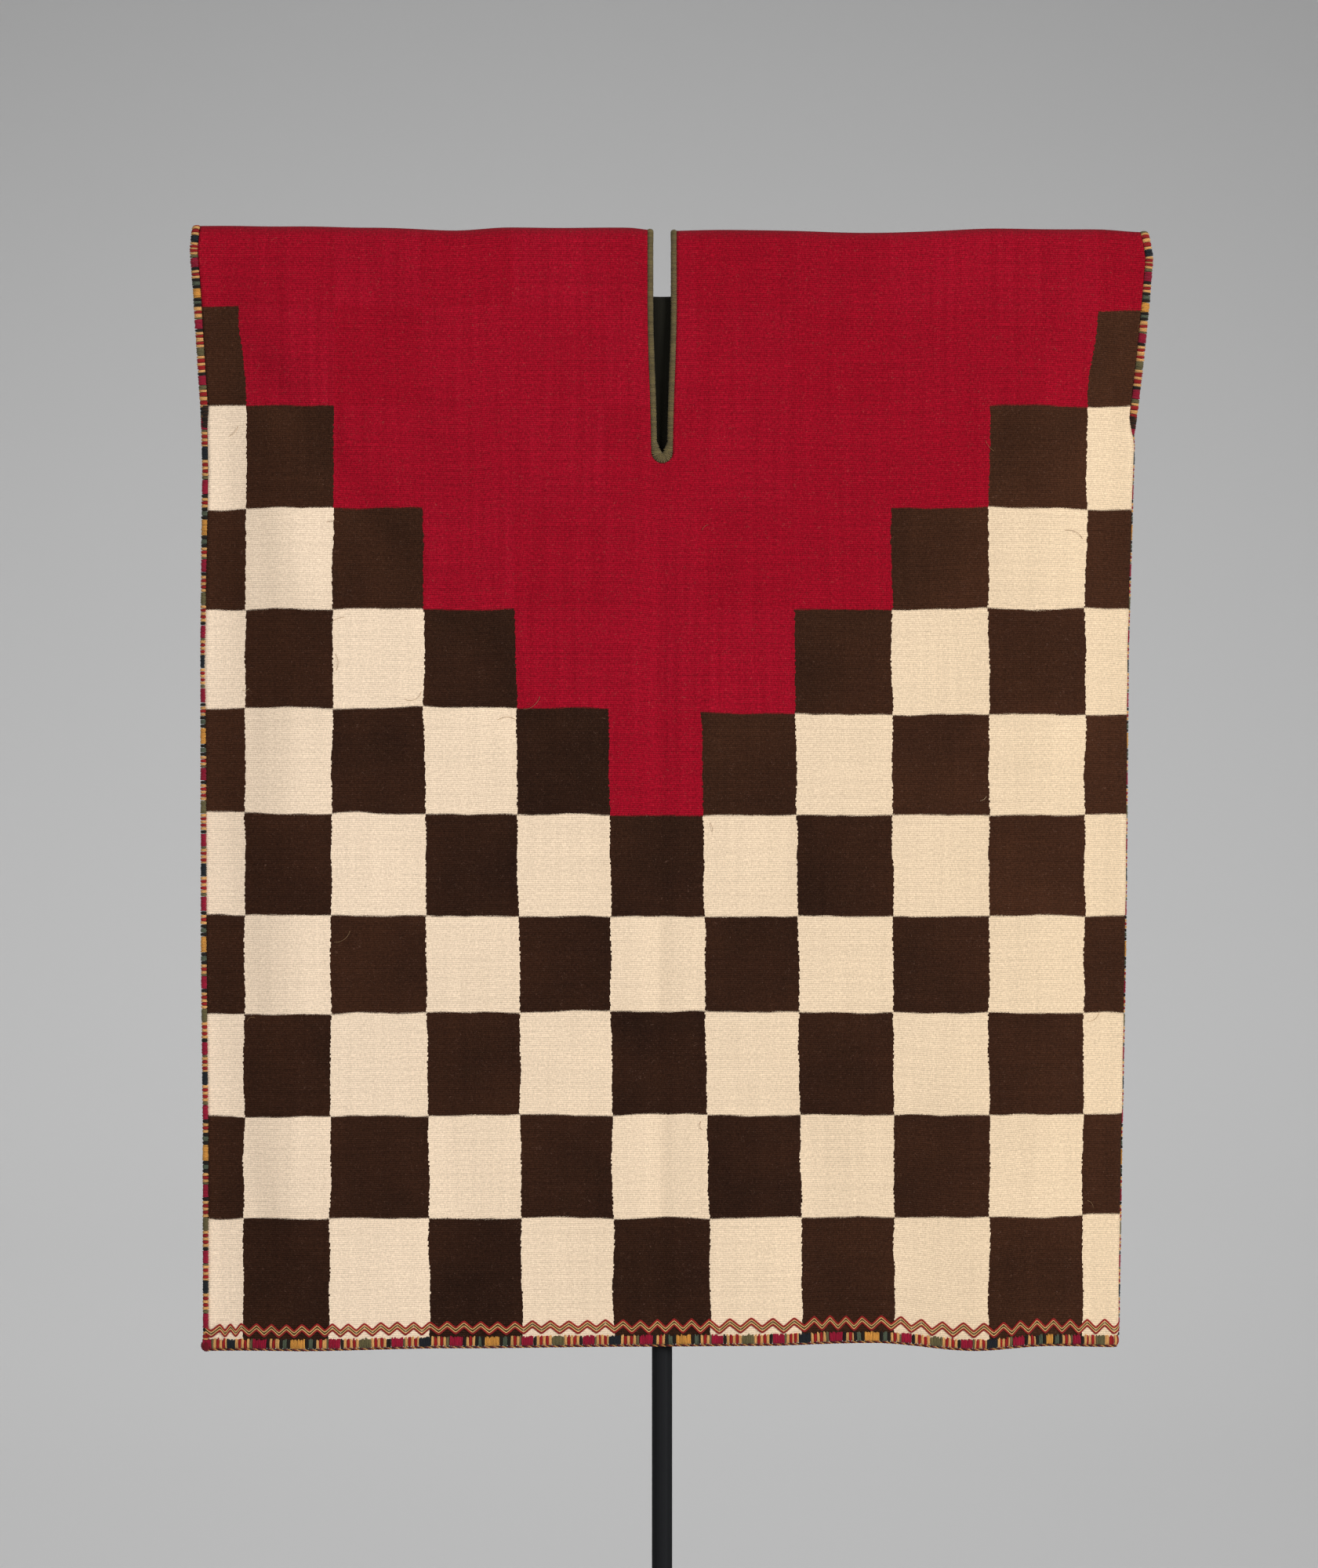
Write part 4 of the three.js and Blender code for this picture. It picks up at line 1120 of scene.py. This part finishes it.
def yarn_tree():
    """Yarns laid along lines: each line of the mesh becomes a round yarn."""
    tree = new_tree("laid_yarns", "Yarns", Lines="Geometry", Yarn="Float", Sides="Int", Material="Material")
    given = add(tree, "NodeGroupInput").node.outputs
    curves = add(tree, "GeometryNodeMeshToCurve", {0: given["Lines"]})
    share = add(tree, "GeometryNodeInputNamedAttribute", {"Name": "share"}, data_type="FLOAT")
    strand = add(tree, "ShaderNodeMath", {0: given["Yarn"], 1: 0.5}, operation="MULTIPLY")
    section = add(
        tree, "GeometryNodeCurvePrimitiveCircle", {"Resolution": given["Sides"], "Radius": strand}
    )
    yarns = add(
        tree,
        "GeometryNodeCurveToMesh",
        {"Curve": curves, "Profile Curve": section, "Scale": share, "Fill Caps": True},
    )
    smooth = add(tree, "GeometryNodeSetShadeSmooth", {0: yarns})
    real = add(tree, "GeometryNodeRealizeInstances", {0: smooth})
    made = add(tree, "GeometryNodeSetMaterial", {0: real, "Material": given["Material"]})
    add(tree, "NodeGroupOutput", {0: made})
    return tree


def laid(name, strands, colours, thick, sides=5, shares=None):
    """Lays a yarn along each strand of points and gives back the piece. Shares are of the thickness."""
    shares = [1] * len(strands) if shares is None else shares
    starts = np.cumsum([0] + [len(strand) for strand in strands])
    links = [(a + k, a + k + 1) for a, strand in zip(starts, strands) for k in range(len(strand) - 1)]
    shades = np.concatenate([np.tile(linear(c), (len(strand), 1)) for strand, c in zip(strands, colours)])
    share = np.concatenate([np.full(len(strand), part) for strand, part in zip(strands, shares)])
    mesh = point_mesh(name, np.concatenate(strands), links, yarn_colour=shades, share=share)
    obj = put(name, mesh)
    give_inputs(
        obj.modifiers.new("yarns", "NODES"),
        laid_tree,
        Yarn=thick * MM,
        Sides=sides,
        Material=yarn_wool,
    )
    settle(obj)
    return obj


laid_tree = yarn_tree()
CORD_YARN = 0.95
CORD_TURN = 6.5  # the length of one full twist
CORD_HALF = 0.5  # how far each yarn lies from the cord's middle
CORD_ENDS = (-360, 359)
CORD_COLOURS = ("#2c1614", "#bd8a4e", "#6e1a1c")
for word, face in (("front", 1), ("back", -1)):
    x = np.linspace(*CORD_ENDS, 900)
    low = surface(x, np.full(len(x), face * (HEM_ALONG - 0.2)))
    strands = []
    for k in range(3):
        turn = x / CORD_TURN * 2 * math.pi + k * 2 * math.pi / 3 + 0.8 * np.sin(x / 31)
        strands.append(low + np.stack([0 * x, np.cos(turn) * CORD_HALF, np.sin(turn) * CORD_HALF], 1))
    cord = laid(f"hem_cord_{word}", strands, CORD_COLOURS, CORD_YARN)
    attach(cord, "root")

# The knot is one yarn wound round and round a ball that turns over slowly.
KNOT = {"x": -358.4, "drop": 877.2, "wide": 9.4, "deep": 9.4, "tall": 10, "yarn": 1.7, "turns": 9}
turns = np.linspace(0, KNOT["turns"] * 2 * math.pi, 260)
tilt = np.linspace(0, math.pi * 3.2, 260)
ball = np.stack([np.cos(turns) * np.cos(tilt * 0.3), np.sin(turns), np.cos(turns) * np.sin(tilt * 0.3)], 1)
knot_size = np.array([KNOT["wide"], KNOT["deep"], KNOT["tall"]]) / 2 - 0.8
knot_line = ball * knot_size + [KNOT["x"], 0, SHOULDER - KNOT["drop"]]
knot = laid("corner_knot", [knot_line], ["#6c0f1c"], KNOT["yarn"])
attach(knot, "root")

# ------------------------------------------------------------------ the zigzag
# Five yarns couched in a zigzag on the cloth just above the hem, front and back: red, yellow, olive, yellow
# and red. Each yarn lies against the next, and the lower points touch the hem's loops.
ZIG = {"middle": 15.4, "rise_left": 4.9, "rise_right": 6.3, "rounded": 0.3, "half_long": 359}
# The zigzag's count of points, from the left, at some places along the hem.
ZIG_COUNT = [(-359, -0.8), (-348, 0), (-331, 2), (-183, 14), (-4, 27), (38, 30), (118, 35), (157, 38)]
ZIG_COUNT += [(266, 45), (348, 51), (359, 51.8)]
# Each yarn's colour, its height above the middle one and its thickness.
ZIG_YARNS = [
    ("#9a1e1c", 2.4, 1.4),
    ("#e2b474", 1.1, 0.85),
    ("#483a1c", 0, 0.75),
    ("#e2b474", -1.1, 0.85),
    ("#8e1c1b", -2.4, 1.4),
]
for word, face in (("front", 1), ("back", -1)):
    across = np.linspace(-ZIG["half_long"], ZIG["half_long"], 1200)
    phase = np.interp(across, *np.array(ZIG_COUNT, float).T) + 0.08 * np.sin(across / 23)
    saw = np.abs((phase % 1) * 2 - 1)
    saw += ZIG["rounded"] * (ease(saw) - saw) + 0.06 * np.sin(across / 9)
    rise = ZIG["rise_left"] + (ZIG["rise_right"] - ZIG["rise_left"]) * ease((across + 80) / 120)
    strands = []
    for _, higher, thick in ZIG_YARNS:
        along = face * (HEM_ALONG - ZIG["middle"] - rise * (saw - 0.5) - higher)
        lift = CLOTH / 2 + NAP + thick * 0.25
        strands.append(surface(across, along) + outward(across, along) * lift)
    colours, _, shares = zip(*ZIG_YARNS)
    zigzag = laid(f"zigzag_{word}", strands, colours, 1, shares=shares)
    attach(zigzag, "root")

# ------------------------------------------------------------------ loose fibres
# Single wool hairs have worked out of the weave, mostly where two colours meet. A real hair is 0.03 mm
# thick, and these are 0.3 mm so that they show.
HAIR = {"thick": 0.3, "raised": 0.35, "arch": 1.1}
HAIR_COLOURS = ["#cdb08c", "#a8845c", "#8f6a48"]
FRONT_HAIRS = 18
BACK_HAIRS = 8
rng = np.random.default_rng(11)
hairs = []
for face in [1] * FRONT_HAIRS + [-1] * BACK_HAIRS:
    beside = rng.choice([line[0] for line in UPRIGHTS])
    at = np.array([beside + rng.uniform(-6, 6), face * rng.uniform(150, 840)])
    angle = rng.uniform(0, 2 * math.pi)
    steps = np.linspace(0, 1, 9)
    bend = angle + rng.uniform(-2, 2) * steps
    run = np.cumsum(np.stack([np.cos(bend), np.sin(bend)], 1) * rng.uniform(0.7, 2.2), 0)
    path = (at + run).T
    lift = CLOTH / 2 + HAIR["raised"] + HAIR["arch"] * np.sin(steps * math.pi)
    hairs.append(surface(*path) + outward(*path) * lift[:, None])
fibres = laid("loose_fibres", hairs, rng.choice(HAIR_COLOURS, len(hairs)), HAIR["thick"], sides=3)
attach(fibres, "root")

# ------------------------------------------------------------------ the studio
# A pale grey paper cove that runs from the floor up all round, far behind the object, and soft lights: a
# broad key from the upper right, a fill from the left, a weak light on the back, and three that light the
# paper only from above, two behind the object and one before it.
COVE = {"radius": 12.0, "bend": 9.0, "height": 10.0, "around": 96, "steps": 32}
profile = [(0.001, 0), (1, 0), (COVE["radius"] - COVE["bend"], 0)]
for angle in np.linspace(0, math.pi / 2, COVE["steps"] + 1)[1:]:
    far = COVE["radius"] - COVE["bend"] + math.sin(angle) * COVE["bend"]
    profile.append((far, COVE["bend"] * (1 - math.cos(angle))))
profile.append((COVE["radius"], COVE["height"]))
ring = np.linspace(0, 2 * math.pi, COVE["around"], endpoint=False)
corners = [(r * math.cos(a), r * math.sin(a), z) for r, z in profile for a in ring]
count = COVE["around"]
quads = []
for k in range(len(profile) - 1):
    for a in range(count):
        b = (a + 1) % count
        quads.append((k * count + a, k * count + b, (k + 1) * count + b, (k + 1) * count + a))
cove_mesh = bpy.data.meshes.new("cove")
cove_mesh.from_pydata(corners, [], quads)
cove_mesh.polygons.foreach_set("use_smooth", np.ones(len(quads), bool))
paper, tree = new_material("matt_grey_background_paper")
place = add(tree, "ShaderNodeTexCoord", output="Object")
cloudy = add(tree, "ShaderNodeTexNoise", {"Vector": place, "Scale": 0.6, "Detail": 2})
tone = add(
    tree,
    "ShaderNodeMix",
    {0: cloudy, 6: linear("#dddddd"), 7: linear("#dfdfdf")},
    output=2,
    data_type="RGBA",
)
sheet = add(
    tree, "ShaderNodeBsdfPrincipled", {"Base Color": tone, "Roughness": 0.95, "Specular IOR Level": 0.1}
)
add(tree, "ShaderNodeOutputMaterial", {"Surface": sheet})
cove_mesh.materials.append(paper)
put("cove", cove_mesh)

LIGHTS = [
    ("key", (3.4, -3.7, 2.2), (0, 0, 1), 1.6, 37, 80),
    ("fill", (-2.6, -4.4, 1.6), (0, 0, 1), 2.6, 23, 100),
    ("back", (-0.6, 4.6, 2.2), (0, 0, 1), 3.0, 6, 100),
    ("wall_low", (0, 2.6, 7.0), (0, 4.4, 0), 3.0, 68, 110),
    ("wall_high", (0, 4.0, 7.0), (0, 9.4, 2.4), 3.0, 43, 110),
    ("wall_in_front", (0, -6.0, 4.4), (0, -12, 2.6), 4.0, 75, 170),
]
for name, spot, target, size, watts, spread in LIGHTS:
    lamp = put(name, bpy.data.lights.new(name, "AREA"))
    lamp.data.size = size
    lamp.data.energy = watts
    lamp.data.spread = math.radians(spread)
    lamp.visible_camera = False
    lamp.location = spot
    x, y, z = np.subtract(target, spot)
    lamp.rotation_euler = (math.atan2(math.hypot(x, y), -z), 0, math.atan2(y, x) - math.pi / 2)
world = bpy.data.worlds.new("studio")
world.use_nodes = True
world.node_tree.nodes["Background"].inputs["Color"].default_value = (1, 1, 1, 1)
world.node_tree.nodes["Background"].inputs["Strength"].default_value = 0.21
bpy.context.scene.world = world
bpy.context.scene.view_settings.view_transform = "Standard"
